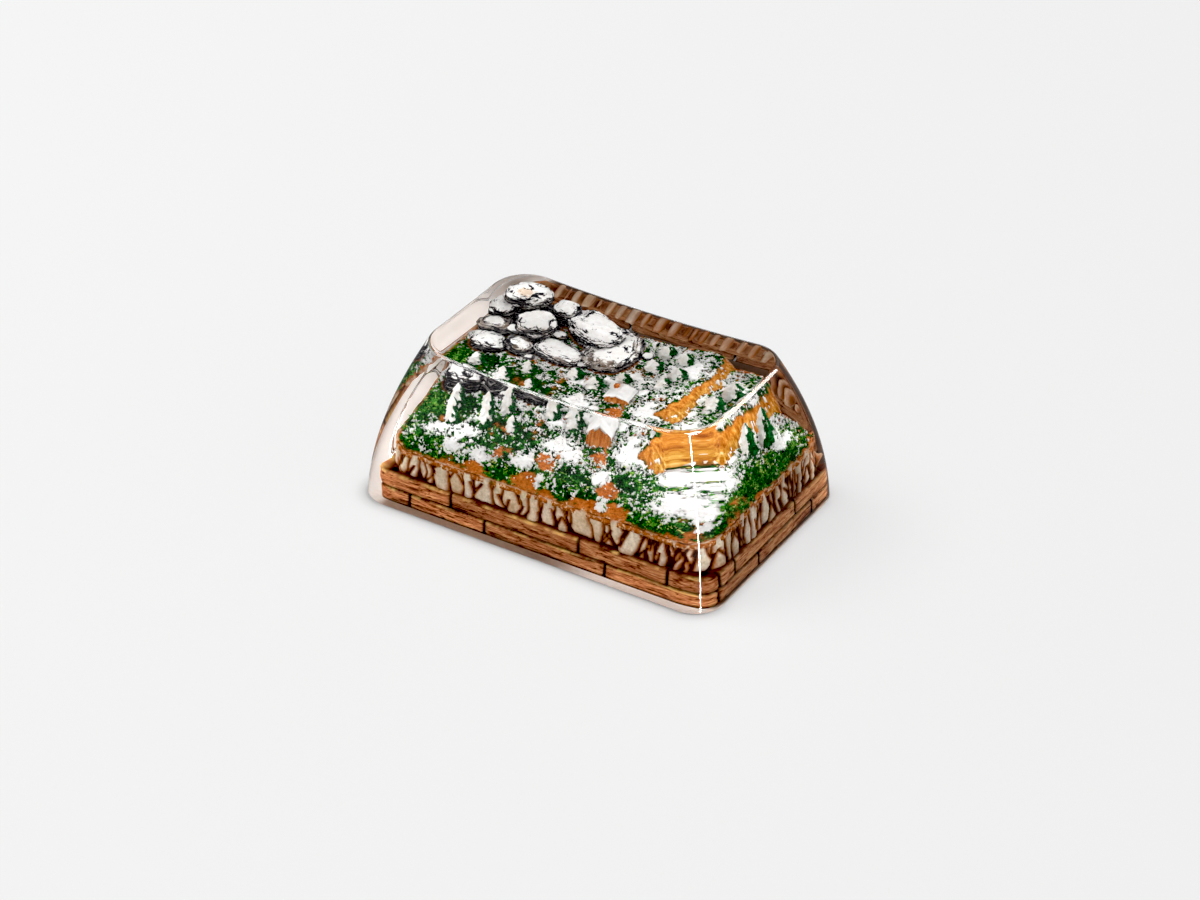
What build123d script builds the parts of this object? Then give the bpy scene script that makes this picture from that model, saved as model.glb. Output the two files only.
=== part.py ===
from build123d import *
import math
import os

os.makedirs("parts", exist_ok=True)

# ------------------------------------------------------------------ driving dimensions (mm)
# Frame: X along the long side, -Y towards the typist, Z up, origin at the middle of the base, z = 0.
CAP_LENGTH = 27.6          # 1.5 units of 19.05 mm, less the gap to the next key
CAP_WIDTH = 18.1           # 1 unit of 19.05 mm, less the gap to the next key
CAP_HEIGHT = 11.2          # height at which the four top corners would meet
END_INSET = 2.95           # how far each short end leans in at the top
FRONT_INSET = 3.5          # how far the front leans in at the top
BACK_INSET = 2.35          # how far the back leans in at the top
WALL_LINEAR = 0.15         # share of the lean that is straight, the rest grows with height squared
BASE_RADIUS = 2.2          # plan corner radius at the base
TOP_RADIUS = 2.7           # plan corner radius at the top
DISH_RADIUS = 107.0        # spherical dish in the top
DISH_BOTTOM = 10.475       # lowest point of the dish
RIM_FILLET = 0.26          # break on the top rim

PLANK_X0, PLANK_X1 = -12.25, 13.0     # plank skirt outline
PLANK_Y0, PLANK_Y1 = -7.8, 7.8
PLANK_RADIUS = 0.7
PLANK_TOP = 2.1            # top of the upper course
COURSE_LINE = 0.98         # joint between the two courses
JOINT_WIDTH = 0.16         # gap between boards
JOINT_DEPTH = 0.26

CLIFF_X0, CLIFF_X1 = -11.55, 12.4     # stone band outline, set back from the planks
CLIFF_Y0, CLIFF_Y1 = -7.25, 7.25
CLIFF_RADIUS = 1.5
STONE_PITCH = 1.15         # spacing of the upright stones
STONE_RELIEF = 0.16        # how far the stones stand out of the crevices

HOLLOW_LENGTH, HOLLOW_WIDTH = 21.4, 12.4   # hollow under the base, at its mouth
HOLLOW_DRAFT = 0.25        # lean of each hollow wall
HOLLOW_ROOF = 3.3
WELL_LENGTH, WELL_WIDTH = 14.8, 9.4        # deeper part that clears the switch housing
WELL_ROOF = 4.3
STEM_DIAMETER = 5.6
STEM_FOOT = 0.3            # lower end of the stem above the base
SOCKET_ARM = 4.15          # cross socket for the switch stem
SOCKET_SLOT_X = 1.35
SOCKET_SLOT_Y = 1.2
SOCKET_DEPTH = 3.8

MOSS_THICK = 0.34
SNOW_THICK = 0.2

# Board joints: upper and lower course, front, right, back and left sides.
UPPER_FRONT_X = (-6.5, 3.55, 10.3)
LOWER_FRONT_X = (-9.8, -3.8, 5.6)
UPPER_BACK_X = (-7.6, 1.2, 8.4)
LOWER_BACK_X = (-3.9, 4.9)
UPPER_RIGHT_Y = (-6.6, -4.85, 3.15)
LOWER_RIGHT_Y = (-1.8, 5.4)
UPPER_LEFT_Y = (-2.6, 4.3)
LOWER_LEFT_Y = (0.9, -5.2)

# Boulders: centre x, y, z, half sizes, turn about Z, tilt about Y, seed.
BOULDERS = {
    "boulder_great_slab": (-3.6, 5.4, 6.75, 2.45, 1.5, 1.2, -24.0, 9.0, 7),
    "boulder_strata_slab": (-1.55, 4.4, 5.7, 1.95, 2.7, 0.9, 17.0, 4.0, 8),
    "boulder_front_slab": (-4.55, 2.15, 5.8, 1.95, 1.15, 0.8, -6.0, 0.0, 9),
    "boulder_left_foot": (-9.45, 0.7, 5.7, 1.4, 1.1, 0.95, 10.0, 0.0, 4),
    "boulder_small_grey": (-7.3, 1.45, 5.75, 1.15, 0.95, 0.8, -10.0, 0.0, 5),
    "boulder_left_ledge": (-10.05, 2.5, 6.2, 1.3, 1.0, 0.85, 15.0, 0.0, 3),
    "boulder_left_shoulder": (-10.45, 4.2, 7.0, 1.05, 1.15, 1.0, 0.0, 0.0, 2),
    "boulder_round": (-7.2, 3.4, 7.4, 1.4, 1.35, 1.3, 20.0, 0.0, 6),
    "boulder_right_knob": (-6.3, 6.0, 7.5, 1.1, 1.05, 1.15, 0.0, 0.0, 10),
    "boulder_summit": (-9.2, 5.65, 8.3, 1.7, 1.4, 1.2, 18.0, 0.0, 1),
}
PEBBLES = (
    (-5.5, 3.75, 6.25, 0.6, 0.5, 0.45, 0.0, 0.0, 21),
    (-2.35, 1.75, 5.5, 0.5, 0.4, 0.36, 30.0, 0.0, 23),
    (-8.55, 2.55, 6.45, 0.55, 0.5, 0.45, 0.0, 0.0, 24),
    (-6.15, 0.75, 5.3, 0.42, 0.36, 0.3, 10.0, 0.0, 25),
    (0.95, 4.9, 5.75, 0.5, 0.42, 0.36, 0.0, 0.0, 26),
)

# Snowy conifers: foot x, y, height and radius.
TREES = (
    (-8.5, -3.2, 1.8, 0.46), (-8.85, -1.5, 1.7, 0.5), (-6.1, -2.35, 2.4, 0.46), (-5.2, -0.6, 1.9, 0.45),
    (-4.2, -2.1, 1.1, 0.36), (-2.1, 0.4, 1.7, 0.5), (-0.25, 0.0, 1.9, 0.6), (1.1, 1.45, 1.6, 0.5),
    (4.0, 1.9, 1.7, 0.5), (4.4, 3.15, 1.8, 0.6), (2.1, 5.7, 1.7, 0.6), (2.1, 3.8, 1.6, 0.55),
    (3.8, 5.2, 1.6, 0.55), (8.1, 1.8, 2.4, 0.58), (8.5, 3.65, 2.8, 0.6),
)
# Cabin: middle x, y, turn about Z, width, depth, height of the eaves and of the ridge above its floor.
CABIN_X, CABIN_Y, CABIN_TURN = 2.0, -0.4, 7.0
CABIN_WIDTH, CABIN_DEPTH, CABIN_EAVES, CABIN_RIDGE = 1.8, 1.6, 1.05, 1.75

# Where moss and snow lie on the ground: centre x, y and half sizes.
MOSS = (
    (-10.1, -5.9, 1.0, 1.0), (-8.8, -5.7, 0.85, 1.2), (-3.1, -6.0, 1.0, 0.9), (2.0, -5.5, 1.3, 1.3),
    (6.6, -4.7, 1.4, 2.0), (9.2, -6.0, 0.9, 0.6), (10.3, 1.65, 1.3, 1.7), (10.6, 5.0, 1.2, 1.1),
    (1.4, 6.0, 1.1, 0.9), (4.3, 6.4, 0.9, 0.6), (5.0, 1.7, 0.8, 0.8), (8.3, 4.75, 0.9, 1.1),
    (8.3, 1.5, 0.8, 1.0), (0.2, 0.9, 0.9, 0.7), (3.3, 0.3, 0.8, 0.7), (-10.4, -1.8, 0.9, 0.8),
    (-8.8, -0.9, 1.2, 0.7), (-4.2, -0.6, 1.0, 0.8), (-1.5, -3.2, 0.9, 0.8),
)
SNOW = (
    (-9.1, -3.9, 1.1, 0.8), (-7.2, -5.5, 0.7, 0.9), (-5.2, -5.6, 1.05, 0.9), (-7.1, -3.6, 1.0, 0.9),
    (-2.0, -4.9, 1.0, 1.0), (-0.3, -2.2, 1.1, 1.1), (1.0, -2.8, 0.8, 0.9), (3.5, -4.2, 0.7, 1.0),
    (4.4, -6.2, 0.7, 0.8), (4.5, -1.5, 0.9, 1.1), (9.1, -4.2, 1.3, 1.4), (10.0, -1.4, 1.4, 1.1),
    (9.6, 4.4, 0.7, 0.9), (4.6, 4.3, 0.9, 1.2), (3.2, 3.1, 0.7, 0.8), (-7.0, -2.0, 1.0, 0.8),
    (1.3, 1.7, 0.8, 0.6), (-5.5, -1.2, 0.7, 0.6),
)


# ------------------------------------------------------------------ shape laws
def wall_lean(z):
    t = max(0.0, z / CAP_HEIGHT)
    return WALL_LINEAR * t + (1.0 - WALL_LINEAR) * t * t


def smooth(a, b, x):
    t = min(1.0, max(0.0, (x - a) / (b - a)))
    return t * t * (3.0 - 2.0 * t)


def ground(x, y):
    """Height of the soil: a meadow rising to the back, a stepped bank at the right, a heap under the rocks."""
    e = max(y - CLIFF_Y0, 0.0)
    meadow = 4.05 + 0.012 * x + 0.62 * (1.0 - math.exp(-e / 1.1)) + 0.066 * e
    wy = smooth(-2.0, -0.6, y)
    lip = 5.0 + 0.75 * wy + 0.06 * min(max(y, 0.0), 4.5) - 0.25 * max(y - 4.5, 0.0)
    foot = lip + 1.55 + 0.65 * (1.0 - wy)
    plateau = meadow + 0.95 * wy * math.exp(-(((x - 5.4) / 2.6) ** 2))
    terrace = 4.30 + 0.40 * (1.0 - math.exp(-e / 0.7)) + 0.01 * y
    h = terrace + (plateau - terrace) * (1.0 - smooth(lip, foot, x))
    heap = 2.0 * math.exp(-(((x + 8.6) / 2.9) ** 2) - (((y - 5.0) / 2.2) ** 2))
    d = min(x - CLIFF_X0, CLIFF_X1 - x, CLIFF_Y1 - y)
    return h + heap - 0.22 * math.exp(-max(d, 0.0) / 0.4)


def scatter(i, j):
    v = math.sin(i * 12.9898 + j * 78.233 + 3.7) * 43758.5453
    return v - math.floor(v)


# ------------------------------------------------------------------ helpers
def polygon_face(points):
    return Face(Wire.make_polygon([Vector(*p) for p in points], close=True))


def closed_solid(faces):
    solid = Solid(Shell([polygon_face(f) for f in faces]))
    if solid.volume < 0:
        solid = Solid(Shell([polygon_face(list(reversed(f))) for f in faces]))
    return solid


def largest(shape):
    return max(shape.solids(), key=lambda s: s.volume)


def rounded_sketch(x0, x1, y0, y1, r, z):
    return Pos((x0 + x1) / 2, (y0 + y1) / 2, z) * RectangleRounded(x1 - x0, y1 - y0, r)


def outline_points(x0, x1, y0, y1, r, step):
    """Points and outward normals round a rounded rectangle, about one step apart."""
    segs = []
    segs.append(("l", (x0 + r, y0), (x1 - r, y0), (0, -1)))
    segs.append(("a", (x1 - r, y0 + r), -90))
    segs.append(("l", (x1, y0 + r), (x1, y1 - r), (1, 0)))
    segs.append(("a", (x1 - r, y1 - r), 0))
    segs.append(("l", (x1 - r, y1), (x0 + r, y1), (0, 1)))
    segs.append(("a", (x0 + r, y1 - r), 90))
    segs.append(("l", (x0, y1 - r), (x0, y0 + r), (-1, 0)))
    segs.append(("a", (x0 + r, y0 + r), 180))
    pts = []
    for s in segs:
        if s[0] == "l":
            (ax, ay), (bx, by), n = s[1], s[2], s[3]
            length = math.hypot(bx - ax, by - ay)
            k = max(1, round(length / step))
            for i in range(k):
                f = i / k
                pts.append((ax + (bx - ax) * f, ay + (by - ay) * f, n[0], n[1]))
        else:
            (cx, cy), a0 = s[1], s[2]
            k = max(2, round(r * math.pi / 2 / step))
            for i in range(k):
                a = math.radians(a0 + 90.0 * i / k)
                pts.append((cx + r * math.cos(a), cy + r * math.sin(a), math.cos(a), math.sin(a)))
    return pts


def icosphere():
    g = (1 + 5 ** 0.5) / 2
    v = [(-1, g, 0), (1, g, 0), (-1, -g, 0), (1, -g, 0), (0, -1, g), (0, 1, g),
         (0, -1, -g), (0, 1, -g), (g, 0, -1), (g, 0, 1), (-g, 0, -1), (-g, 0, 1)]
    f = [(0, 11, 5), (0, 5, 1), (0, 1, 7), (0, 7, 10), (0, 10, 11), (1, 5, 9), (5, 11, 4), (11, 10, 2),
         (10, 7, 6), (7, 1, 8), (3, 9, 4), (3, 4, 2), (3, 2, 6), (3, 6, 8), (3, 8, 9), (4, 9, 5),
         (2, 4, 11), (6, 2, 10), (8, 6, 7), (9, 8, 1)]
    v = [tuple(c / math.sqrt(1 + g * g) for c in p) for p in v]
    mid = {}

    def half(a, b):
        key = (min(a, b), max(a, b))
        if key not in mid:
            m = [(v[a][i] + v[b][i]) / 2 for i in range(3)]
            n = math.sqrt(sum(c * c for c in m))
            v.append(tuple(c / n for c in m))
            mid[key] = len(v) - 1
        return mid[key]

    out = []
    for a, b, c in f:
        ab, bc, ca = half(a, b), half(b, c), half(c, a)
        out += [(a, ab, ca), (b, bc, ab), (c, ca, bc), (ab, bc, ca)]
    return v, out


ICO_V, ICO_F = icosphere()


def boulder(cx, cy, cz, rx, ry, rz, turn, tilt, seed):
    """A blocky rounded stone: an uneven faceted ball, squared a little, scaled, tilted and turned."""
    ct, st = math.cos(math.radians(turn)), math.sin(math.radians(turn))
    cb, sb = math.cos(math.radians(tilt)), math.sin(math.radians(tilt))
    pts = []
    for i, (x, y, z) in enumerate(ICO_V):
        p = 2.6
        n = (abs(x) ** p + abs(y) ** p + abs(z) ** p) ** (1 / p)
        k = (0.93 + 0.12 * (scatter(seed, i) - 0.5)) / n
        x, y, z = x * k * rx, y * k * ry, z * k * rz
        x, z = x * cb + z * sb, -x * sb + z * cb
        x, y = x * ct - y * st, x * st + y * ct
        pts.append((cx + x, cy + y, cz + z))
    return closed_solid([[pts[a], pts[b], pts[c]] for a, b, c in ICO_F])


# ------------------------------------------------------------------ clear outer casting, before it is hollowed
sections = []
for z in (0.0, 2.2, 4.4, 6.6, 8.8, 11.6):
    s = wall_lean(z)
    half_l = CAP_LENGTH / 2 - END_INSET * s
    y0 = -CAP_WIDTH / 2 + FRONT_INSET * s
    y1 = CAP_WIDTH / 2 - BACK_INSET * s
    r = BASE_RADIUS + (TOP_RADIUS - BASE_RADIUS) * z / CAP_HEIGHT
    sections.append(rounded_sketch(-half_l, half_l, y0, y1, r, z))
outer = loft(sections)
dish_y = (FRONT_INSET - BACK_INSET) / 2
outer = outer - Pos(0, dish_y, DISH_BOTTOM + DISH_RADIUS) * Sphere(DISH_RADIUS)
outer = largest(outer)
top_face = max(outer.faces(), key=lambda f: f.center().Z)
try:
    rounded = fillet(top_face.edges(), RIM_FILLET)
    outer = largest(rounded)
except Exception as err:  # the rim then stays a sharp edge
    print("rim left sharp:", err)

# ------------------------------------------------------------------ opaque base: planks, stone band, soil
planks = extrude(rounded_sketch(PLANK_X0, PLANK_X1, PLANK_Y0, PLANK_Y1, PLANK_RADIUS, 0.0), PLANK_TOP)
ring_out = extrude(rounded_sketch(PLANK_X0 - 1, PLANK_X1 + 1, PLANK_Y0 - 1, PLANK_Y1 + 1, PLANK_RADIUS + 1,
                                  COURSE_LINE - 0.06), 0.12)
ring_in = extrude(rounded_sketch(PLANK_X0 + 0.2, PLANK_X1 - 0.2, PLANK_Y0 + 0.2, PLANK_Y1 - 0.2,
                                 PLANK_RADIUS - 0.2, COURSE_LINE - 0.06), 0.12)
planks = planks - (ring_out - ring_in)


def board_gaps(xs_front, xs_back, ys_right, ys_left, z0, z1):
    gaps = []
    zc, h = (z0 + z1) / 2, z1 - z0
    for x in xs_front:
        gaps.append(Pos(x, PLANK_Y0, zc) * Box(JOINT_WIDTH, 2 * JOINT_DEPTH, h))
    for x in xs_back:
        gaps.append(Pos(x, PLANK_Y1, zc) * Box(JOINT_WIDTH, 2 * JOINT_DEPTH, h))
    for y in ys_right:
        gaps.append(Pos(PLANK_X1, y, zc) * Box(2 * JOINT_DEPTH, JOINT_WIDTH, h))
    for y in ys_left:
        gaps.append(Pos(PLANK_X0, y, zc) * Box(2 * JOINT_DEPTH, JOINT_WIDTH, h))
    return gaps


for gap in board_gaps(UPPER_FRONT_X, UPPER_BACK_X, UPPER_RIGHT_Y, UPPER_LEFT_Y, COURSE_LINE, PLANK_TOP):
    planks = planks - gap
for gap in board_gaps(LOWER_FRONT_X, LOWER_BACK_X, LOWER_RIGHT_Y, LOWER_LEFT_Y, 0.0, COURSE_LINE):
    planks = planks - gap

NX, NY = 24, 15
GX0, GX1, GY0, GY1 = -12.0, 12.45, -7.7, 7.7
grid = {}
for i in range(NX + 1):
    for j in range(NY + 1):
        x = GX0 + (GX1 - GX0) * i / NX
        y = GY0 + (GY1 - GY0) * j / NY
        if 0 < i < NX:
            x += 0.36 * (scatter(i, j) - 0.5)
        if 0 < j < NY:
            y += 0.36 * (scatter(j + 50, i) - 0.5)
        grid[i, j] = (x, y, ground(x, y) + 0.14 * (scatter(i + 9, j + 31) - 0.5))
tris = []
for i in range(NX):
    for j in range(NY):
        a, b, c, d = (i, j), (i + 1, j), (i + 1, j + 1), (i, j + 1)
        tris += [(a, b, c), (a, c, d)] if (i + j) % 2 else [(a, b, d), (b, c, d)]
LOW = PLANK_TOP - 0.4
faces = [[grid[k] for k in t] for t in tris]
front = [grid[i, 0] for i in range(NX + 1)]
back = [grid[i, NY] for i in range(NX + 1)]
left = [grid[0, j] for j in range(NY + 1)]
right = [grid[NX, j] for j in range(NY + 1)]
for row in (front, back, left, right):
    faces.append([(row[0][0], row[0][1], LOW)] + row + [(row[-1][0], row[-1][1], LOW)])
faces.append([(GX0, GY0, LOW), (GX1, GY0, LOW), (GX1, GY1, LOW), (GX0, GY1, LOW)])
soil_block = closed_solid(faces)

ring = []
for k, (x, y, nx, ny) in enumerate(outline_points(CLIFF_X0, CLIFF_X1, CLIFF_Y0, CLIFF_Y1, CLIFF_RADIUS,
                                                  STONE_PITCH / 2)):
    out = STONE_RELIEF * (0.75 + 0.5 * scatter(k, 5)) if k % 2 else -0.02
    ring.append((x + nx * out, y + ny * out, LOW))
stones = extrude(polygon_face(ring), 9.0, dir=(0, 0, 1))
stones = largest(stones & soil_block)
base_full = largest(planks + stones)

hollow = loft([
    Pos(0, 0, -0.01) * RectangleRounded(HOLLOW_LENGTH, HOLLOW_WIDTH, 1.0),
    Pos(0, 0, HOLLOW_ROOF) * RectangleRounded(HOLLOW_LENGTH - 2 * HOLLOW_DRAFT, HOLLOW_WIDTH - 2 * HOLLOW_DRAFT, 0.9),
])
well = extrude(Pos(0, 0, 1.0) * RectangleRounded(WELL_LENGTH, WELL_WIDTH, 0.8), WELL_ROOF - 1.0)
stem = Pos(0, 0, (STEM_FOOT + WELL_ROOF + 0.1) / 2) * Cylinder(STEM_DIAMETER / 2, WELL_ROOF + 0.1 - STEM_FOOT)
socket_z = STEM_FOOT + SOCKET_DEPTH / 2
socket = (Pos(0, 0, socket_z) * Box(SOCKET_ARM, SOCKET_SLOT_Y, SOCKET_DEPTH)
          + Pos(0, 0, socket_z) * Box(SOCKET_SLOT_X, SOCKET_ARM, SOCKET_DEPTH))
scenic_base = base_full - (hollow + well - stem)
scenic_base = largest(scenic_base - socket)

# ------------------------------------------------------------------ boulders and pebbles, each trimmed by what it rests on
stones_done = {}
placed = []
for name, data in BOULDERS.items():
    solid = boulder(*data)
    solid = largest(solid - base_full)
    for other in placed:
        solid = largest(solid - other)
    placed.append(solid)
    stones_done[name] = solid
pebbles = []
for data in PEBBLES:
    solid = largest(boulder(*data) - base_full)
    for other in placed:
        rest = (solid - other).solids()
        if not rest:
            solid = None
            break
        solid = max(rest, key=lambda s: s.volume)
    if solid is not None:
        placed.append(solid)
        pebbles.append(solid)


# ------------------------------------------------------------------ conifers and cabin standing on the soil
def conifer(cx, cy, h, r):
    """Three ragged tiers round a pointed stem, eight-sided."""
    z0 = ground(cx, cy) - 0.2
    rows = ((1.0, 0.0), (0.62, 0.40), (0.80, 0.37), (0.40, 0.70), (0.54, 0.67), (0.10, 1.0))
    rings = []
    for k, (f, g) in enumerate(rows):
        ring = []
        for i in range(8):
            a = math.radians(45.0 * i + 15.0 * (cx + cy))
            ring.append((cx + r * f * math.cos(a), cy + r * f * math.sin(a), z0 + (h + 0.2) * g))
        rings.append(ring)
    out = [list(reversed(rings[0])), rings[-1]]
    for lo, hi in zip(rings, rings[1:]):
        for i in range(8):
            j = (i + 1) % 8
            out.append([lo[i], lo[j], hi[j], hi[i]])
    return closed_solid(out)


trees = []
for data in TREES:
    solid = largest(conifer(*data) - base_full)
    for other in placed:
        solid = largest(solid - other)
    trees.append(solid)

cabin_floor = min(ground(CABIN_X + i * CABIN_WIDTH / 2, CABIN_Y + j * CABIN_DEPTH / 2) for i in (-1, 1) for j in (-1, 1)) - 0.05


def gable(points, depth):
    """An upright outline in X and Z, as deep as given along Y."""
    face = polygon_face([(x, -depth / 2, z) for x, z in points])
    return extrude(face, depth, dir=(0, 1, 0))


half = CABIN_WIDTH / 2
walls = gable([(-half, -0.2), (half, -0.2), (half, CABIN_EAVES), (0, CABIN_RIDGE), (-half, CABIN_EAVES)], CABIN_DEPTH)
roof = gable([(-half - 0.2, CABIN_EAVES - 0.16), (0, CABIN_RIDGE), (half + 0.2, CABIN_EAVES - 0.16),
              (half + 0.2, CABIN_EAVES + 0.1), (0, CABIN_RIDGE + 0.3), (-half - 0.2, CABIN_EAVES + 0.1)], CABIN_DEPTH + 0.3)
chimney = Pos(-0.42, 0.3, CABIN_RIDGE) * Box(0.3, 0.3, 0.9)
cabin = Pos(CABIN_X, CABIN_Y, cabin_floor) * Rot(0, 0, CABIN_TURN) * (walls + roof + chimney)
cabin = largest(cabin - base_full)


def beside(x, y, r, corners):
    """True if a facet comes nearer than r to a point, both in plan."""
    inside = True
    for k in range(3):
        (ax, ay), (bx, by) = corners[k][:2], corners[(k + 1) % 3][:2]
        t = ((x - ax) * (bx - ax) + (y - ay) * (by - ay)) / ((bx - ax) ** 2 + (by - ay) ** 2)
        t = min(1.0, max(0.0, t))
        if math.hypot(x - ax - t * (bx - ax), y - ay - t * (by - ay)) < r:
            return True
        if (bx - ax) * (y - ay) - (by - ay) * (x - ax) < 0:
            inside = False
    return inside


# ------------------------------------------------------------------ moss and snow: thin solids laid on the soil facets
def under_rocks(x, y):
    for d in list(BOULDERS.values()) + list(PEBBLES):
        if ((x - d[0]) / (max(d[3], d[4]) + 0.25)) ** 2 + ((y - d[1]) / (max(d[4], d[3] * 0.6) + 0.25)) ** 2 < 1.0:
            return True
    return False


def inside_cliff(x, y, m):
    return CLIFF_X0 + m < x < CLIFF_X1 - m and CLIFF_Y0 + m < y < CLIFF_Y1 - m and not (
        (abs(x - (CLIFF_X0 + CLIFF_X1) / 2) > (CLIFF_X1 - CLIFF_X0) / 2 - CLIFF_RADIUS)
        and (abs(y) > CLIFF_Y1 - CLIFF_RADIUS)
        and math.hypot(abs(x - (CLIFF_X0 + CLIFF_X1) / 2) - (CLIFF_X1 - CLIFF_X0) / 2 + CLIFF_RADIUS,
                       abs(y) - CLIFF_Y1 + CLIFF_RADIUS) > CLIFF_RADIUS - m)


def in_patch(patches, x, y):
    return any(((x - p[0]) / p[2]) ** 2 + ((y - p[1]) / p[3]) ** 2 < 1.15 for p in patches)


cover = {}
for t in tris:
    pts = [grid[k] for k in t]
    cx, cy = sum(p[0] for p in pts) / 3, sum(p[1] for p in pts) / 3
    if any(under_rocks(p[0], p[1]) or not inside_cliff(p[0], p[1], 0.12) for p in pts):
        continue
    if any(beside(d[0], d[1], d[3] + 0.1, pts) for d in TREES) or beside(CABIN_X, CABIN_Y, 1.6, pts):
        continue
    if in_patch(SNOW, cx, cy):
        cover[t] = "snow"
    elif in_patch(MOSS, cx, cy):
        cover[t] = "moss"


taken = set()


def patch_groups(kind):
    """Facets of one kind, joined over shared edges. No two groups touch, and none meets itself only at a point."""
    todo = [t for t in tris if cover.get(t) == kind]
    groups = []
    while todo:
        group = [todo.pop(0)]
        grew = True
        while grew:
            grew = False
            for t in list(todo):
                if any(len(set(t) & set(u)) == 2 for u in group):
                    group.append(t)
                    todo.remove(t)
                    grew = True
        group = [t for t in group if not (set(t) & taken)]
        changed = True
        while changed and group:
            changed = False
            for v in sorted({k for t in group for k in t}):
                fan = [t for t in group if v in t]
                seen = [fan[0]]
                grew = True
                while grew:
                    grew = False
                    for t in fan:
                        if t not in seen and any(len(set(t) & set(u)) == 2 for u in seen):
                            seen.append(t)
                            grew = True
                if len(seen) < len(fan):
                    group = [t for t in group if t not in fan or t in seen]
                    changed = True
                    break
        while group:
            part = [group.pop(0)]
            grew = True
            while grew:
                grew = False
                for t in list(group):
                    if any(len(set(t) & set(u)) == 2 for u in part):
                        part.append(t)
                        group.remove(t)
                        grew = True
            if not any(set(t) & taken for t in part):
                taken.update(k for t in part for k in t)
                groups.append(part)
            else:
                part = [t for t in part if not (set(t) & taken)]
                group = part + group if part else group
    return groups


def patch_solid(group, thick):
    edges = {}
    for t in group:
        for a, b in ((t[0], t[1]), (t[1], t[2]), (t[2], t[0])):
            edges.setdefault(frozenset((a, b)), []).append((a, b))
    rim = {k for e, users in edges.items() if len(users) == 1 for k in e}

    def up(k):
        x, y, z = grid[k]
        return (x, y, z + thick * (0.5 if k in rim else 0.8 + 0.4 * scatter(k[0] + 3, k[1] + 17)))

    out = []
    for t in group:
        out.append([grid[k] for k in t])
        out.append([up(k) for k in t])
    for e, users in edges.items():
        if len(users) == 1:
            a, b = users[0]
            out.append([grid[a], grid[b], up(b), up(a)])
    return closed_solid(out)


snow = [patch_solid(g, SNOW_THICK) for g in patch_groups("snow")]
moss = [patch_solid(g, MOSS_THICK) for g in patch_groups("moss")]

# ------------------------------------------------------------------ clear casting, poured round everything
clear_resin_cap = outer.cut(base_full, *placed, *trees, cabin, *moss, *snow)
clear_resin_cap = largest(clear_resin_cap)

# ------------------------------------------------------------------ write the parts
nodes = {"clear_resin_cap": clear_resin_cap, "scenic_base": scenic_base}
nodes.update(stones_done)
nodes["pebbles"] = Compound(children=pebbles)
nodes["pine_trees"] = Compound(children=trees)
nodes["cabin"] = cabin
nodes["moss_turf"] = Compound(children=moss)
nodes["snow_patches"] = Compound(children=snow)
for name, shape in nodes.items():
    export_step(shape, "parts/" + name + ".step")
    print(name, round(shape.volume, 2), "valid" if shape.is_valid else "NOT VALID", len(shape.solids()))
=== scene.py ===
import math
import bpy
import numpy as np
from mathutils import Matrix, Vector


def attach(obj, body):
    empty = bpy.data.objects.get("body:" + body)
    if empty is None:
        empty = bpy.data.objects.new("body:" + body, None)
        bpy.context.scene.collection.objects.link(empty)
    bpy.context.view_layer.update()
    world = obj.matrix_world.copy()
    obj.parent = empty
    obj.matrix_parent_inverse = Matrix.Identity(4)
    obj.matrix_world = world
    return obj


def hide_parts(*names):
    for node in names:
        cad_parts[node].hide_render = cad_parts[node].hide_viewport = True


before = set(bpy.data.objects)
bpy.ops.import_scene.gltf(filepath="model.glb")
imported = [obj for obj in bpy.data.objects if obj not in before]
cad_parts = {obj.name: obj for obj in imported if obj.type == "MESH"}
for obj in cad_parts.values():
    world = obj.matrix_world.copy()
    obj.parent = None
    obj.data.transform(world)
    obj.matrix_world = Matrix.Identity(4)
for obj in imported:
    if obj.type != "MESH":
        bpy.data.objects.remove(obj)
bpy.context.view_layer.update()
rng = np.random.default_rng(11)

# ------------------------------------------------------------------ shape of the cap and of the landscape (mm)
LB, WB, HT = 27.6, 18.1, 11.2
END_IN, FRONT_IN, BACK_IN, LIN = 2.95, 3.5, 2.35, 0.15
RB, RT = 2.2, 2.7
DISH_R, DISH_Z = 107.0, 10.475
DISH_Y = (FRONT_IN - BACK_IN) / 2
PX0, PX1, PY0, PY1, PR = -12.25, 13.0, -7.8, 7.8, 0.7
CX0, CX1, CY0, CY1, CR = -11.55, 12.4, -7.25, 7.25, 1.5
PLANK_TOP, COURSE = 2.1, 0.98

BOULDERS = {
    "boulder_great_slab": (-3.6, 5.4, 6.75, 2.45, 1.5, 1.2, -24.0, 9.0, 7),
    "boulder_strata_slab": (-1.55, 4.4, 5.7, 1.95, 2.7, 0.9, 17.0, 4.0, 8),
    "boulder_front_slab": (-4.55, 2.15, 5.8, 1.95, 1.15, 0.8, -6.0, 0.0, 9),
    "boulder_left_foot": (-9.45, 0.7, 5.7, 1.4, 1.1, 0.95, 10.0, 0.0, 4),
    "boulder_small_grey": (-7.3, 1.45, 5.75, 1.15, 0.95, 0.8, -10.0, 0.0, 5),
    "boulder_left_ledge": (-10.05, 2.5, 6.2, 1.3, 1.0, 0.85, 15.0, 0.0, 3),
    "boulder_left_shoulder": (-10.45, 4.2, 7.0, 1.05, 1.15, 1.0, 0.0, 0.0, 2),
    "boulder_round": (-7.2, 3.4, 7.4, 1.4, 1.35, 1.3, 20.0, 0.0, 6),
    "boulder_right_knob": (-6.3, 6.0, 7.5, 1.1, 1.05, 1.15, 0.0, 0.0, 10),
    "boulder_summit": (-9.2, 5.65, 8.3, 1.7, 1.4, 1.2, 18.0, 0.0, 1),
}
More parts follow.
